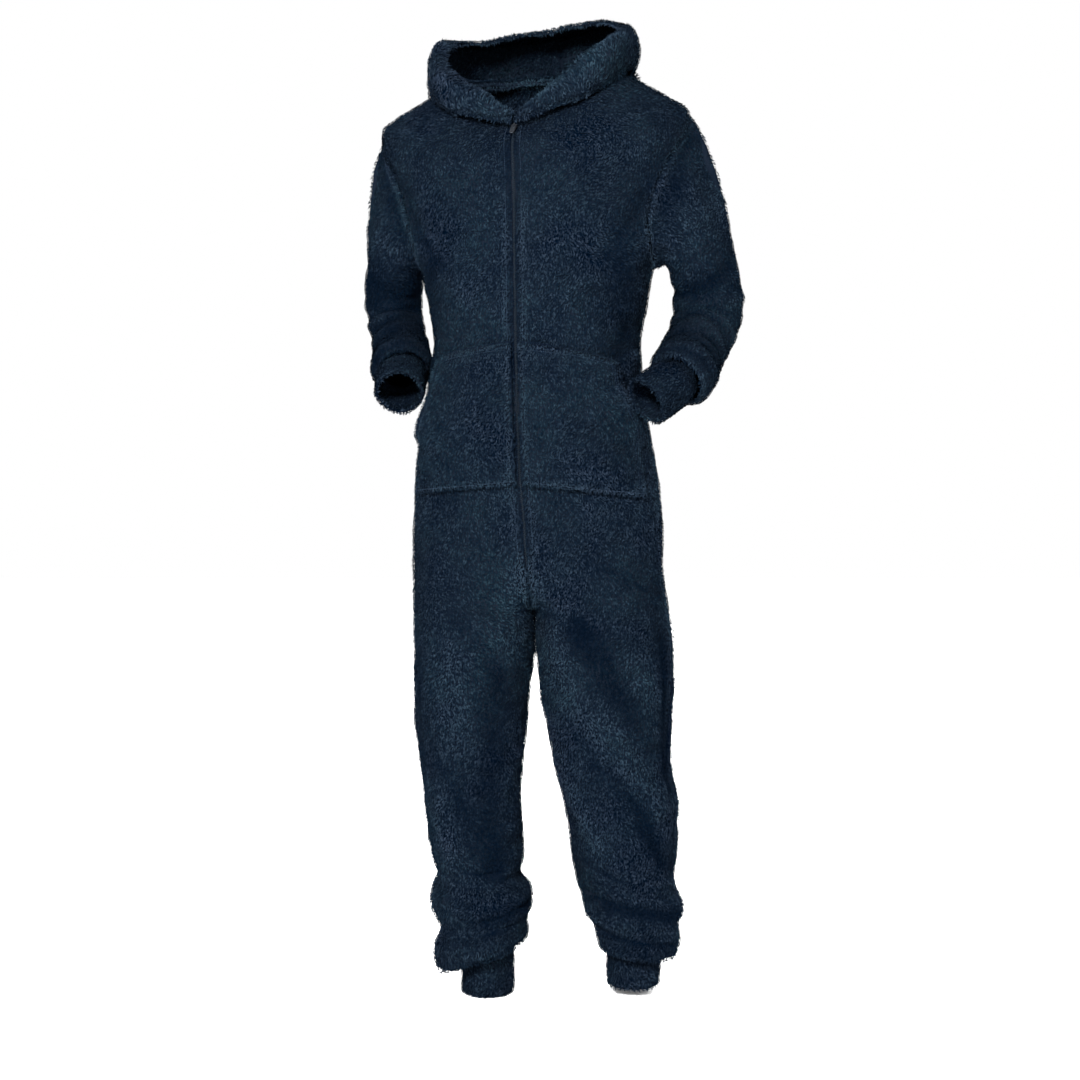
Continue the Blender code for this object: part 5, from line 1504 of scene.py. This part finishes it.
def curve_through(points: Array, at: Array, loop: bool = False) -> Array:
    """Points between rows of points, on a smooth curve through them.

    Args:
        points: rows of points.
        at: row numbers to read at, with fractions.
        loop: whether the last row is followed by the first.
    Returns:
        One row for each of at.
    """
    count = len(points)
    if not loop:
        points = np.concatenate((2 * points[:1] - points[1:2], points,
                                 2 * points[-1:] - points[-2:-1]))
    k = np.floor(at).astype(int)
    k = k if loop else np.minimum(k, count - 2)
    t = (at - k).reshape(-1, *(1,) * (points.ndim - 1))
    before, start, end, after = (points[(k + step) % count] if loop else points[k + step + 1]
                                 for step in (-1, 0, 1, 2))
    return 0.5 * (2 * start + (end - before) * t + (2 * before - 5 * start + 4 * end - after) * t**2
                  + (3 * start - before - 3 * end + after) * t**3)


def eased(grid: Array, times: int) -> Array:
    """A tube's rings of points or directions, with sharp turns softened so many times."""
    for _ in range(times):
        grid = grid / 2 + (np.roll(grid, 1, axis=1) + np.roll(grid, -1, axis=1)) / 4
        grid[1:-1] = grid[1:-1] / 2 + (grid[2:] + grid[:-2]) / 4
    return grid


def tube_ways(points: Array) -> Array:
    """The outward way at each point of a tube.

    Args:
        points: rings of points.
    Returns:
        Directions, each on the side away from its ring's middle.
    """
    around = np.roll(points, -1, axis=1) - np.roll(points, 1, axis=1)
    ways = unit(np.cross(around, np.gradient(points, axis=0)))
    from_middle = unit(points - points.mean(axis=1)[:, None, :])
    agree = np.sum(ways * from_middle, axis=2, keepdims=True)
    agree = agree if agree.sum() > 0 else -agree
    ways = ways if np.sum(ways * from_middle) > 0 else -ways
    return unit(np.where(agree < 0, -ways, ways) + 0.6 * np.clip(0.5 - agree, 0, 1) * from_middle)


@dataclass
class Cuffs:
    """Turned tubes at the wrists and the ankles."""
    finishes: Finishes
    nap: Nap = Nap(length=0.0068, swirl=24, spacing=0.0026)
    wrist_grid: tuple[int, int] = (16, 56)  # rows, and points to a ring
    ankle_grid: tuple[int, int] = (18, 60)
    rounding: float = 0.0012    # by which the turned end draws in
    rib: float = 0.010          # share of its radius by which a cuff's soft ribs rise

    def wrist(self, name: str) -> Cloth:
        """A wrist cuff's face.

        Args:
            name: left or right.
        Returns:
            Its cloth.
        """
        rows, around = self.wrist_grid
        seam, along, out, _ = (v[0] for v in Sleeves.frames(name, np.array([8.0])))
        end = np.array(WRIST_CUFF_END[name])
        start = seam - along * WRIST_CUFF_TUCK
        angle = 2 * np.pi * np.arange(around) / around
        rings = []
        for t in np.linspace(0, 1, rows + 1):
            way = unit((1 - t) * along + t * unit(end - seam))
            lateral = unit(out - np.dot(out, way) * way)
            frontal = np.cross(way, lateral) * SIDES[name]
            radius = WRIST_CUFF_RADIUS - WRIST_CUFF_SQUEEZE[name] * (1 - smooth_step(t * 3))
            radius = radius - self.rounding * smooth_step((t - 0.85) / 0.15)
            ribs = 1 + self.rib * np.sin(angle * 9 + 1.3 * np.sin(3 * angle)) * np.sin(np.pi * t)
            rings.append((1 - t) * start + t * end + radius * ribs[:, None] * (
                lateral * np.cos(angle)[:, None] + frontal * np.sin(angle)[:, None]))
        return self.finish_tube(np.array(rings))

    def ankle(self, name: str) -> Cloth:
        """An ankle cuff's face.

        Args:
            name: left or right.
        Returns:
            Its cloth.
        """
        rows, around = self.ankle_grid
        side = SIDES[name]
        seam_in, seam_out, x0, y0, turn = LEG[side].at(
            ANKLE_LEVEL, "z_in", "z_out", "centre_x", "centre_y", "turn")
        angle = 2 * np.pi * np.arange(around) / around
        sine = np.sin(angle)
        rings = []
        for t in np.linspace(0, 1, rows + 1):
            top = seam_in + (seam_out - seam_in) * (1 + sine) / 2 + ANKLE_CUFF_TUCK
            radius = ANKLE_CUFF_HALF_WIDTH - ANKLE_CUFF_SQUEEZE[name] * (1 - smooth_step(t * 2.2))
            radius = radius - self.rounding * smooth_step((t - 0.88) / 0.12)
            ribs = 1 + self.rib * np.sin(angle * 8 + 1.1 * np.sin(3 * angle)) * np.sin(np.pi * t)
            x, y = turned(side * radius * ribs * sine, radius * ribs * np.cos(angle), turn)
            rings.append(np.stack((x0 + x, y0 + y, top + (ANKLE_CUFF_BOTTOM[name] - top) * t),
                                  axis=1))
        return self.finish_tube(np.array(rings))

    @staticmethod
    def finish_tube(rings: Array) -> Cloth:
        """Gives a tube its ways out and its lumps.

        Args:
            rings: of points.
        Returns:
            Its cloth.
        """
        cloth = Cloth(rings, tube_ways(rings), tube=True)
        cloth.ruffle(0.018, 0.0008, 7)
        return cloth

    def build(self) -> None:
        """Makes the four cuffs."""
        for kind, maker, seed in (("wrist", self.wrist, 300), ("ankle", self.ankle, 310)):
            for name, side in SIDES.items():
                cloth = maker(name)
                pile = Pile(self.nap, seed + side)
                pile.grow(cloth)
                drop = np.linspace(0, 1, len(cloth.points))[:, None] * np.ones(
                    cloth.points.shape[1])
                pile.grow(cloth, smooth_step((drop - 0.1) / 0.3) * 0.8, depth=WALL, flip=True)
                closed, ways = (np.concatenate((v, v[:, :1]), axis=1)
                                for v in (cloth.points, cloth.ways))
                pile.fringe(closed[-1] - ways[-1] * GROUND_MIDDLE, unit(closed[-1] - closed[-2]),
                            ways[-1])
                Piece(f"{kind}_cuff_{name}", slot="cuff_fleece").make(cloth, pile, self.finishes)


@dataclass
class Hood:
    """The hood worn down, its two sides joined at the back."""
    finishes: Finishes
    rows: int = 62  # from the neckline seam to the face edge
    columns: int = 74  # from the front to the back
    nap: Nap = Nap(swirl=30, length=0.0076, spacing=0.0026)  # its pile, longer than the panels'
    # Angle, lean, width and height of each soft fold across its roll.
    crumples: tuple[tuple[float, ...], ...] = (
        (34, 14, 9, -0.0030), (56, -10, 10, 0.0030), (78, 16, 9, -0.0036),
        (100, -12, 11, 0.0032), (126, 14, 10, -0.0036), (150, -10, 12, 0.0030))

    def profiles(self, side: int, angles: Array) -> Array:
        """The hood's cloth in upright slices, from the neckline seam to its face edge.

        Args:
            side: 1 for left, -1 for right.
            angles: of the slices, 0 at the front and 180 at the back.
        Returns:
            Rows of points, one for each slice.
        """
        shape = HOOD[side]
        reach, bearing = shape.at(angles, "reach", "bearing")
        turn = float(BODY.at(0.0, "turn"))
        x, y = turned(side * np.sin(np.radians(bearing)), np.cos(np.radians(bearing)), turn)
        away = np.stack((x, y, np.zeros_like(x)), axis=-1)
        seam = PLAIN.body_ring(side, np.zeros_like(angles), angles)
        stops = []
        for k in range(7):
            level = reach * k / 6
            lift = SEAM_GAP + HOOD_UNDER_LIFT * smooth_step(np.full_like(level, 3 * k / 6))
            front = self._under(side, Face.FRONT, level, angles, lift)
            back = self._under(side, Face.BACK, level, angles, lift)
            stops.append(np.where((angles <= 90)[:, None], front, back))
        for stop in ("turn", "wide", "high", "top", "edge"):
            out, up = shape.at(angles, f"{stop}_out", f"{stop}_up")
            stops.append(seam + away * out[:, None] + np.stack((0 * up, 0 * up, up), axis=-1))
        stops = np.array(stops).transpose(1, 0, 2)
        return np.array([self.along_curve(points, self.rows + 1) for points in stops])

    @staticmethod
    def _under(side: int, face: Face, level: Array, angle: Array, lift: Array) -> Array:
        """Points of the under layer, on a panel and a little off it.

        Args:
            side: 1 for left, -1 for right.
            face: front or back panel.
            level: how far down the panel.
            angle: round the neckline.
            lift: off the panel.
        Returns:
            Points.
        """
        edge = SIDE_EDGE[face].at(level, "angle")
        part = angle / edge if face is Face.FRONT else (180 - angle) / (180 - edge)
        return PLAIN.panel(side, face, level, np.clip(part, 0, 1), lift)

    @staticmethod
    def along_curve(points: Array, count: int) -> Array:
        """Evenly spaced points on a smooth curve.

        Args:
            points: that it goes through.
            count: of points wanted.
        Returns:
            Points.
        """
        lengths = walk(points)
        path = Section("at x y z", np.column_stack((lengths, points)).tolist())
        curve = np.stack(path.at(np.linspace(0, lengths[-1], 161), "x", "y", "z"), axis=1)
        lengths = walk(curve)
        return read_along(np.linspace(0, lengths[-1], count), lengths, curve)

    def cloth(self, side: int) -> Cloth:
        """One side's face.

        Args:
            side: 1 for left, -1 for right.
        Returns:
            Its cloth, creased and sewn.
        """
        angles = np.linspace(0, 180, self.columns + 1)
        grid = self.profiles(side, angles).transpose(1, 0, 2)
        mirror = self.profiles(-side, angles[-2:-1])[0]
        across = np.gradient(grid, axis=1)
        across[:, -1] = (mirror - grid[:, -2]) / 2
        ways = unit(np.cross(across, np.gradient(grid, axis=0)))
        ways = -ways if side < 0 else ways
        turn = float(BODY.at(0.0, "turn"))
        x, y = turned(np.float64(side), np.float64(0.0), turn)
        lateral = np.array((x, y, 0.0))
        fade = np.clip(1 - np.arange(self.columns + 1) / (self.columns / 20), 0, 1)
        grid = grid + lateral * (fade * ZIP_OPENING / 2)[None, :, None]
        drop = np.linspace(0, 1, self.rows + 1)[:, None]
        height = np.zeros(grid.shape[:2])
        outer = smooth_step((drop - 0.45) / 0.15)
        for at, lean, width, rise in self.crumples:
            line = at + lean * (drop - 0.7) * 3 + side * 4
            height = height + rise * outer * np.exp(-((angles[None, :] - line) / width) ** 2)
        cloth = Cloth(grid + ways * height[..., None], ways)
        # Painted shading: the folds' troughs are painted darker and their ridges lighter, and the
        # whole hood's pile is painted lighter.
        cloth.painted_shading = np.clip(height / 0.0045 + 0.9, -1, 1)
        cloth.ruffle(0.024, 0.0014, 9)
        cloth.sew("last")
        cloth.sink = -0.0068 * np.exp(-(cloth.distances()["top"] / 0.007) ** 2)
        return cloth

    def build(self) -> None:
        """Makes both sides."""
        for name, side in SIDES.items():
            cloth = self.cloth(side)
            drop = np.broadcast_to(np.linspace(0, 1, self.rows + 1)[:, None],
                                   cloth.points.shape[:2])
            pile = Pile(self.nap, 400 + side)
            # The under layer, which lies on the shoulders, has no pile.
            pile.grow(cloth, smooth_step((drop - 0.29) / 0.05))
            inside = Cloth(cloth.points, cloth.ways)
            pile.grow(inside, 0.85 * np.ones_like(drop), depth=WALL, flip=True)
            off = unit(cloth.points[-1] - cloth.points[-2])
            middle = cloth.points[-1] - cloth.ways[-1] * GROUND_MIDDLE
            for _ in range(2):
                pile.fringe(middle, off, cloth.ways[-1])
            top_fringes(pile, cloth)
            Piece(f"hood_{name}", held="laid").make(cloth, pile, self.finishes)


@dataclass
class Pocket:
    """The kangaroo pocket's two halves, sewn down but for their slanted mouths."""
    finishes: Finishes
    rows: int = 44
    columns: int = 36

    @staticmethod
    def level_at(height: Array) -> Array:
        """The level whose front lies at a height."""
        levels = np.linspace(10, 15, 201)
        return np.interp(-height, -BODY.at(levels, "z_front"), levels)

    @staticmethod
    def lift(share: Array, drop: Array) -> Array:
        """How far a half stands off: nothing at its sewn edges, and open at its mouth.

        Args:
            share: 0 at the zip, 1 at the side.
            drop: 0 at the top, 1 at the bottom.
        Returns:
            Metres.
        """
        upright = np.sin(np.pi * np.clip(drop, 0, 1)) ** 0.7
        from_zip = smooth_step(share / 0.40)
        sewn_side = smooth_step((drop - POCKET_MOUTH_END) / 0.12)
        return POCKET_FULLNESS * upright * from_zip * (1 - sewn_side
                                                       * smooth_step((share - 0.55) / 0.45))

    def cloth(self, name: str) -> Cloth:
        """One half's face.

        Args:
            name: left or right.
        Returns:
            Its cloth, sewn and stitched.
        """
        side = SIDES[name]
        drop, share = np.meshgrid(np.linspace(0, 1, self.rows + 1),
                                  np.linspace(0, 1, self.columns + 1), indexing="ij")
        angle = POCKET_EDGE[name].at(drop, "angle") * share
        top = POCKET_TOP[0] + (POCKET_TOP[1] - POCKET_TOP[0]) * share**1.6
        bottom = POCKET_BOTTOM[0] + (POCKET_BOTTOM[1] - POCKET_BOTTOM[0]) * share
        level = self.level_at(top + (bottom - top) * drop)
        part = angle / SIDE_EDGE[Face.FRONT].at(level, "angle")
        ways = PLAIN.outward(side, Face.FRONT, level, part)
        lift = PATCH_SEAT + self.lift(share, drop) + WALL
        points = PLAIN.panel(side, Face.FRONT, level, part, lift)
        along = PLAIN.across(side, Face.FRONT, level, part)
        shift = (ZIP_OPENING / 2 + POCKET_ZIP_MARGIN) * np.clip(1 - share / 0.14, 0, 1)
        points = points + along * shift[..., None]
        cloth = Cloth(points, grid_ways(points, ways))
        cloth.ruffle(0.022, 0.0011, 6)
        away = cloth.distances()
        sewn = 1 - smooth_step((POCKET_MOUTH_END - drop) / 0.05 + 0.5)
        cloth.sew("first", "bottom", depth=0.0012, swell=0.0010)
        cloth.sew("top", depth=0.0008, swell=0.0012)
        cloth.sew("last", depth=0.0010, swell=0.0014, weight=0.6 + 0.4 * sewn)
        cloth.groove(away["top"] - POCKET_TOP_STITCH, 0.0012, 0.0028)
        cloth.groove(away["last"] - POCKET_MOUTH_STITCH, 0.0014, 0.0030)
        return cloth

    def build(self) -> None:
        """Makes both halves."""
        for name, side in SIDES.items():
            cloth = self.cloth(name)
            pile = Pile(Nap(swirl=28, spacing=0.0023), 500 + side)
            pile.grow(cloth)
            points, ways = cloth.points, cloth.ways
            middle = points - ways * GROUND_MIDDLE
            pile.fringe(middle[:, -1], unit(points[:, -1] - points[:, -2]), ways[:, -1])
            pile.fringe(middle[0], unit(points[0] - points[1]), ways[0], spacing=0.0030)
            Piece(f"pocket_{name}", [f"front_{name}_cloth"], held="laid").make(
                cloth, pile, self.finishes)


def grid_ways(points: Array, hint: Array) -> Array:
    """Outward ways from a grid's own run, on the side of a hint."""
    ways = unit(np.cross(np.gradient(points, axis=1), np.gradient(points, axis=0)))
    return ways * np.sign(np.sum(ways * hint, axis=-1, keepdims=True))


def corners(count: int) -> Array:
    """The corners of a round bead's section."""
    turns = np.linspace(0, 2 * np.pi, count + 1)[:-1]
    return np.array([(math.cos(turn), math.sin(turn)) for turn in turns])


def tube_faces(around: int, steps: int) -> Array:
    """The faces of an open tube.

    Args:
        around: points to a ring.
        steps: from one ring to the next.
    Returns:
        Vertex numbers, ring after ring.
    """
    ring, step = np.arange(around), np.arange(steps)[:, None] * around
    a, b = (step + ring).ravel(), (step + (ring + 1) % around).ravel()
    return np.stack((a, b, b + around, a + around), axis=1)


@dataclass
class Zip:
    """The zip: woven tapes, a closed coil, and the finish of its slider and pull."""
    finishes: Finishes
    pitch: float = 0.0016  # from one tooth to the next
    overrun: float = 0.35  # levels that the tapes and coil run on below the opening
    coil_depth: float = -0.0011  # of the coil's middle, from the fronts' inner face
    stand: float = 0.0020  # where a tooth starts, from the middle line
    reach: float = 0.0030  # how far it goes across that line
    bow: float = 0.0007  # how far it bends inward
    bead: float = 0.00055  # its radius
    tape_width: float = 0.0140  # of each tape
    tape_thickness: float = 0.0008  # of each tape
    tape_seat: float = 0.0006  # from the fronts' inner face to a tape
    cord: float = 0.0004  # height of the ridge beside the coil

    def levels(self) -> Array:
        """Ring levels down the opening."""
        return np.linspace(0, ZIP_END_LEVEL + self.overrun, 634)

    def front_edge(self, side: int) -> tuple[Array, Array]:
        """A front's edge at the opening.

        Args:
            side: 1 for left, -1 for right.
        Returns:
            Points on its outer and on its inner face.
        """
        level = self.levels()
        zero = np.zeros_like(level)
        outer = PLAIN.panel(side, Face.FRONT, level, zero) + Panels.middle_shift(
            side, Face.FRONT, level, zero)
        return outer, outer - PLAIN.outward(side, Face.FRONT, level, zero) * WALL

    def line(self) -> tuple[Array, Array, Array]:
        """The opening's line on the cloth's face.

        Returns:
            Its points, the way across and the way in.
        """
        (left, left_in), (right, right_in) = (self.front_edge(side) for side in (1, -1))
        middle = (left + right) / 2
        return middle, unit(left - right), unit((left_in + right_in) / 2 - middle)

    def build(self) -> None:
        """Makes the coil and the tapes, and dresses the slider and the pull."""
        middle, across, inward = self.line()
        lengths = walk(middle)
        at = np.arange(0.004, lengths[-1] - 0.002, self.pitch)
        centre, side, deep = (read_along(at, lengths, v) for v in (middle, across, inward))
        side, deep = unit(side), unit(deep)
        self.coil(centre + deep * (WALL + self.coil_depth), side, unit(np.gradient(centre, axis=0)),
                  deep)
        for name in SIDES:
            self.tape(name, middle, across, inward)
        for node in ("zip_slider", "zip_pull"):
            made = frame["nodes"][node]
            bevel = made.modifiers.new("worn_edges", "BEVEL")
            bevel.width, bevel.segments, bevel.limit_method = 0.00022, 2, "ANGLE"
            bevel.angle_limit = math.radians(35)
            for slot in made.material_slots:
                slot.material = self.finishes.metal
            if not made.material_slots:
                made.data.materials.append(self.finishes.metal)

    def coil(self, centre: Array, side: Array, down: Array, deep: Array) -> None:
        """Makes two rows of teeth that close between each other, each a bent bead.

        Args:
            centre: each tooth's place on the middle line.
            side: the way across the zip there.
            down: the way along it.
            deep: the way in.
        """
        outline = corners(6)
        vertices, faces = [], []
        for tooth in range(len(centre)):
            hand = 1 if tooth % 2 else -1
            start = centre[tooth] + side[tooth] * hand * self.stand
            rings = []
            for t in (0.0, 0.35, 0.7, 1.0):
                spot = (start - side[tooth] * hand * self.reach * t
                        - deep[tooth] * self.bow * math.sin(math.pi * t))
                thick = self.bead * (1.0 if t < 0.9 else 0.6)
                rings.append(spot + thick * (outline[:, :1] * down[tooth]
                                             + outline[:, 1:] * deep[tooth]))
            vertices.append(np.concatenate(rings))
            faces.append(tube_faces(6, 3) + tooth * 24)
        made = lay_mesh("zip_coil", np.concatenate(vertices), np.concatenate(faces),
                        self.finishes.coil)
        put_on(made, "zip_chain")

    def tape(self, name: str, middle: Array, across: Array, inward: Array) -> None:
        """Makes a woven tape with a raised cord beside the coil.

        Args:
            name: left or right.
            middle: line of the opening.
            across: the way across it.
            inward: the way in.
        """
        side = SIDES[name]
        level = self.levels()
        share = np.full_like(level, 0.1)
        edge_in = self.front_edge(side)[1]
        beside = PLAIN.panel(side, Face.FRONT, level, share)
        beside_in = beside - PLAIN.outward(side, Face.FRONT, level, share) * WALL
        near = middle + inward * (WALL + self.tape_seat) + across * side * SEAM_GAP / 2
        far = edge_in + unit(beside_in - edge_in) * self.tape_width + inward * self.tape_seat
        columns = []
        for t in (0.0, 0.10, 0.2, 0.4, 0.6, 0.8, 1.0):
            ridge = self.cord * math.exp(-((t - 0.14) / 0.06) ** 2)
            columns.append(near + (far - near) * t - inward * ridge)
        grid = np.array(columns).transpose(1, 0, 2)[::2]
        ways = -np.broadcast_to(inward[::2, None], grid.shape)
        made = shell(f"zip_tape_{name}_woven", Cloth(grid, ways), self.finishes.tape, 0.0,
                     self.tape_thickness)
        put_on(made, f"zip_tape_{name}")


@dataclass
class Stitches:
    """Lockstitch in the grooves beside the zip and round the pocket."""
    finishes: Finishes
    panels: Panels
    pocket: Pocket
    pitch: float = 0.0034  # from one stitch to the next
    thickness: float = 0.00032  # the thread's radius
    crown: float = 0.0012  # depth of a stitch's middle under the tips of the pile
    dip: float = 0.0026  # depth of its ends

    @staticmethod
    def inset(cloth: Cloth, edge: str, inset: float) -> tuple[Array, Array]:
        """A line at a distance in from one edge of a cloth.

        Args:
            cloth: that it lies on.
            edge: first, last, top or bottom.
            inset: the distance.
        Returns:
            Its points and their ways out.
        """
        away = cloth.distances()[edge]
        points, ways = cloth.points, cloth.ways
        if edge in ("top", "bottom"):
            away, points, ways = away.T, points.transpose(1, 0, 2), ways.transpose(1, 0, 2)
        if edge in ("last", "bottom"):
            away, points, ways = away[:, ::-1], points[:, ::-1], ways[:, ::-1]
        points, ways = (np.array([read_along(inset, far, row) for far, row in zip(away, grid)])
                        for grid in (points, ways))
        return points, unit(ways)

    def rows(self) -> list[tuple[Array, Array]]:
        """Every row of stitches.

        Returns:
            Points and ways out for each.
        """
        rows = []
        for name, side in SIDES.items():
            points, ways = self.inset(self.panels.cloth(side, Face.FRONT), "first", STITCH_LINE)
            levels = self.panels.levels()
            beside_zip = (levels < ZIP_END_LEVEL) & (levels > 0.3)
            rows.append((points[beside_zip], ways[beside_zip]))
            patch = self.pocket.cloth(name)
            for edge, inset, skipped in (("top", POCKET_TOP_STITCH, 2),
                                         ("last", POCKET_MOUTH_STITCH, 2),
                                         ("bottom", POCKET_BOTTOM_STITCH, 1)):
                points, ways = self.inset(patch, edge, inset)
                rows.append((points[skipped:-skipped], ways[skipped:-skipped]))
        return rows

    def build(self) -> None:
        """Makes every row as one mesh of thread."""
        vertices = np.concatenate([self.thread(points, ways) for points, ways in self.rows()])
        faces = tube_faces(5, 3) + (np.arange(len(vertices)) * 20)[:, None, None]
        made = lay_mesh("stitches", vertices.reshape(-1, 3), faces.reshape(-1, 4),
                        self.finishes.thread)
        put_on(made)

    def thread(self, points: Array, ways: Array) -> Array:
        """A row of stitches, each a bead that dips at both of its ends.

        Args:
            points: along the row.
            ways: out of the cloth there.
        Returns:
            The corners of each stitch, in four rings of five.
        """
        lengths, outline = walk(points), corners(5)
        at = np.arange(0.002, lengths[-1] - 0.002, self.pitch)[:, None]
        at = at + np.array((-0.40, -0.16, 0.16, 0.40)) * self.pitch
        way = unit(read_along(at, lengths, ways))
        depth = np.array((self.dip, self.crown, self.crown, self.dip))[:, None]
        centre = read_along(at, lengths, points) - way * depth
        side = unit(np.cross(unit(np.gradient(centre, axis=1)), way))
        return (centre[:, :, None] + self.thickness * (side[:, :, None] * outline[:, :1]
                                                       + way[:, :, None] * outline[:, 1:]))


@dataclass
class Studio:
    """Pale floor, soft lights and the camera."""
    floor_height: float
    reach: Triple = (6.0, 5.0, 6.0)  # from the middle of the floor to its edges
    # Name, place, size and power of each.
    lights: tuple[tuple, ...] = (("key", (-0.9, -3.3, 1.3), 0.8, 620.0),
                                 ("fill", (1.8, -3.4, 0.2), 2.0, 50.0),
                                 ("back", (0.8, 3.4, 1.3), 2.0, 420.0),
                                 ("right", (3.4, 0.9, 0.9), 2.0, 190.0),
                                 ("left", (-3.4, 1.1, 0.9), 2.0, 170.0))
    aim: Triple = (0.0, 0.0, -0.7)  # where the lights point
    camera: Triple = (0.0167, -3.2, -0.40)  # where it stands
    sight: Triple = (0.0167, 0.0, -0.717)  # where it points
    lens: float = 64.0  # its focal length in millimetres

    @staticmethod
    def point(made: Object, place: Sequence[float], aim: Sequence[float]) -> None:
        """Links an object into the scene and points it.

        Args:
            made: a light or a camera.
            place: where it stands.
            aim: what it points at.
        """
        bpy.context.scene.collection.objects.link(made)
        made.location = place
        made.rotation_euler = (Vector(aim) - Vector(place)).to_track_quat("-Z", "Y").to_euler()

    def build(self) -> None:
        """Makes the floor, the lights, the world and the camera."""
        scene = bpy.context.scene
        finish = Finish("studio_floor")
        speckle = finish.noise(6.0, 2.0)
        finish.surface(Base_Color=finish.mix(speckle * 0.3, (0.93, 0.93, 0.93), (0.91, 0.91, 0.92)),
                       Roughness=0.8)
        aside, ahead, behind = self.reach
        rows = np.array([(-aside, -ahead, 0), (aside, -ahead, 0), (aside, behind, 0),
                         (-aside, behind, 0)])
        lay_mesh("studio_floor", rows + (0, 0, self.floor_height),
                          np.array([(0, 1, 2, 3)]), finish.material)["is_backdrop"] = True
        world = bpy.data.worlds.new("studio")
        world.use_nodes = True
        sky = world.node_tree.nodes["Background"].inputs
        sky["Color"].default_value, sky["Strength"].default_value = (1.0, 1.0, 1.0, 1.0), 1.0
        scene.world = world
        for name, place, size, power in self.lights:
            lamp = bpy.data.lights.new(name, "AREA")
            lamp.shape, lamp.size, lamp.energy = "DISK", size, power
            self.point(bpy.data.objects.new(name, lamp), place, self.aim)
        lens = bpy.data.cameras.new("camera")
        lens.lens, lens.sensor_width = self.lens, 36.0
        camera = bpy.data.objects.new("camera", lens)
        self.point(camera, self.camera, self.sight)
        scene.camera = camera
        scene.view_settings.view_transform = "Standard"


def main() -> None:
    """Builds the garment on the frame, and the studio round it."""
    logging.basicConfig(level=logging.INFO, format="%(message)s")
    for name in ("Cube", "Light", "Camera"):
        if name in bpy.data.objects:
            bpy.data.objects.remove(bpy.data.objects[name])
    cad_box = [list(map(float, corner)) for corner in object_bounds()]
    finishes = Finishes(
        pile=Fleece("fleece_pile").build(),
        cuff_pile=Fleece("cuff_pile", light=(0.0137, 0.0202, 0.0318)).build(),
        ground=Fleece("fleece_ground", ground=True).build(),
        tape=Woven("zip_tape").build(),
        coil=Woven("zip_coil", colour=(0.0020, 0.0038, 0.0066), rib=900.0, gloss=0.45).build(),
        thread=Woven("sewing_thread", colour=(0.0060, 0.0110, 0.0200), rib=5000.0).build(),
        metal=Gunmetal("gunmetal").build())
    panels, pocket = Panels(finishes), Pocket(finishes)
    for assembly in (panels, Sleeves(finishes), Cuffs(finishes), Hood(finishes), pocket,
                     Zip(finishes), Stitches(finishes, panels, pocket)):
        assembly.build()
        log.info("built %s", type(assembly).__name__)
    Studio(floor_height=cad_box[0][2] - 0.001).build()


if __name__ == "__main__":
    main()
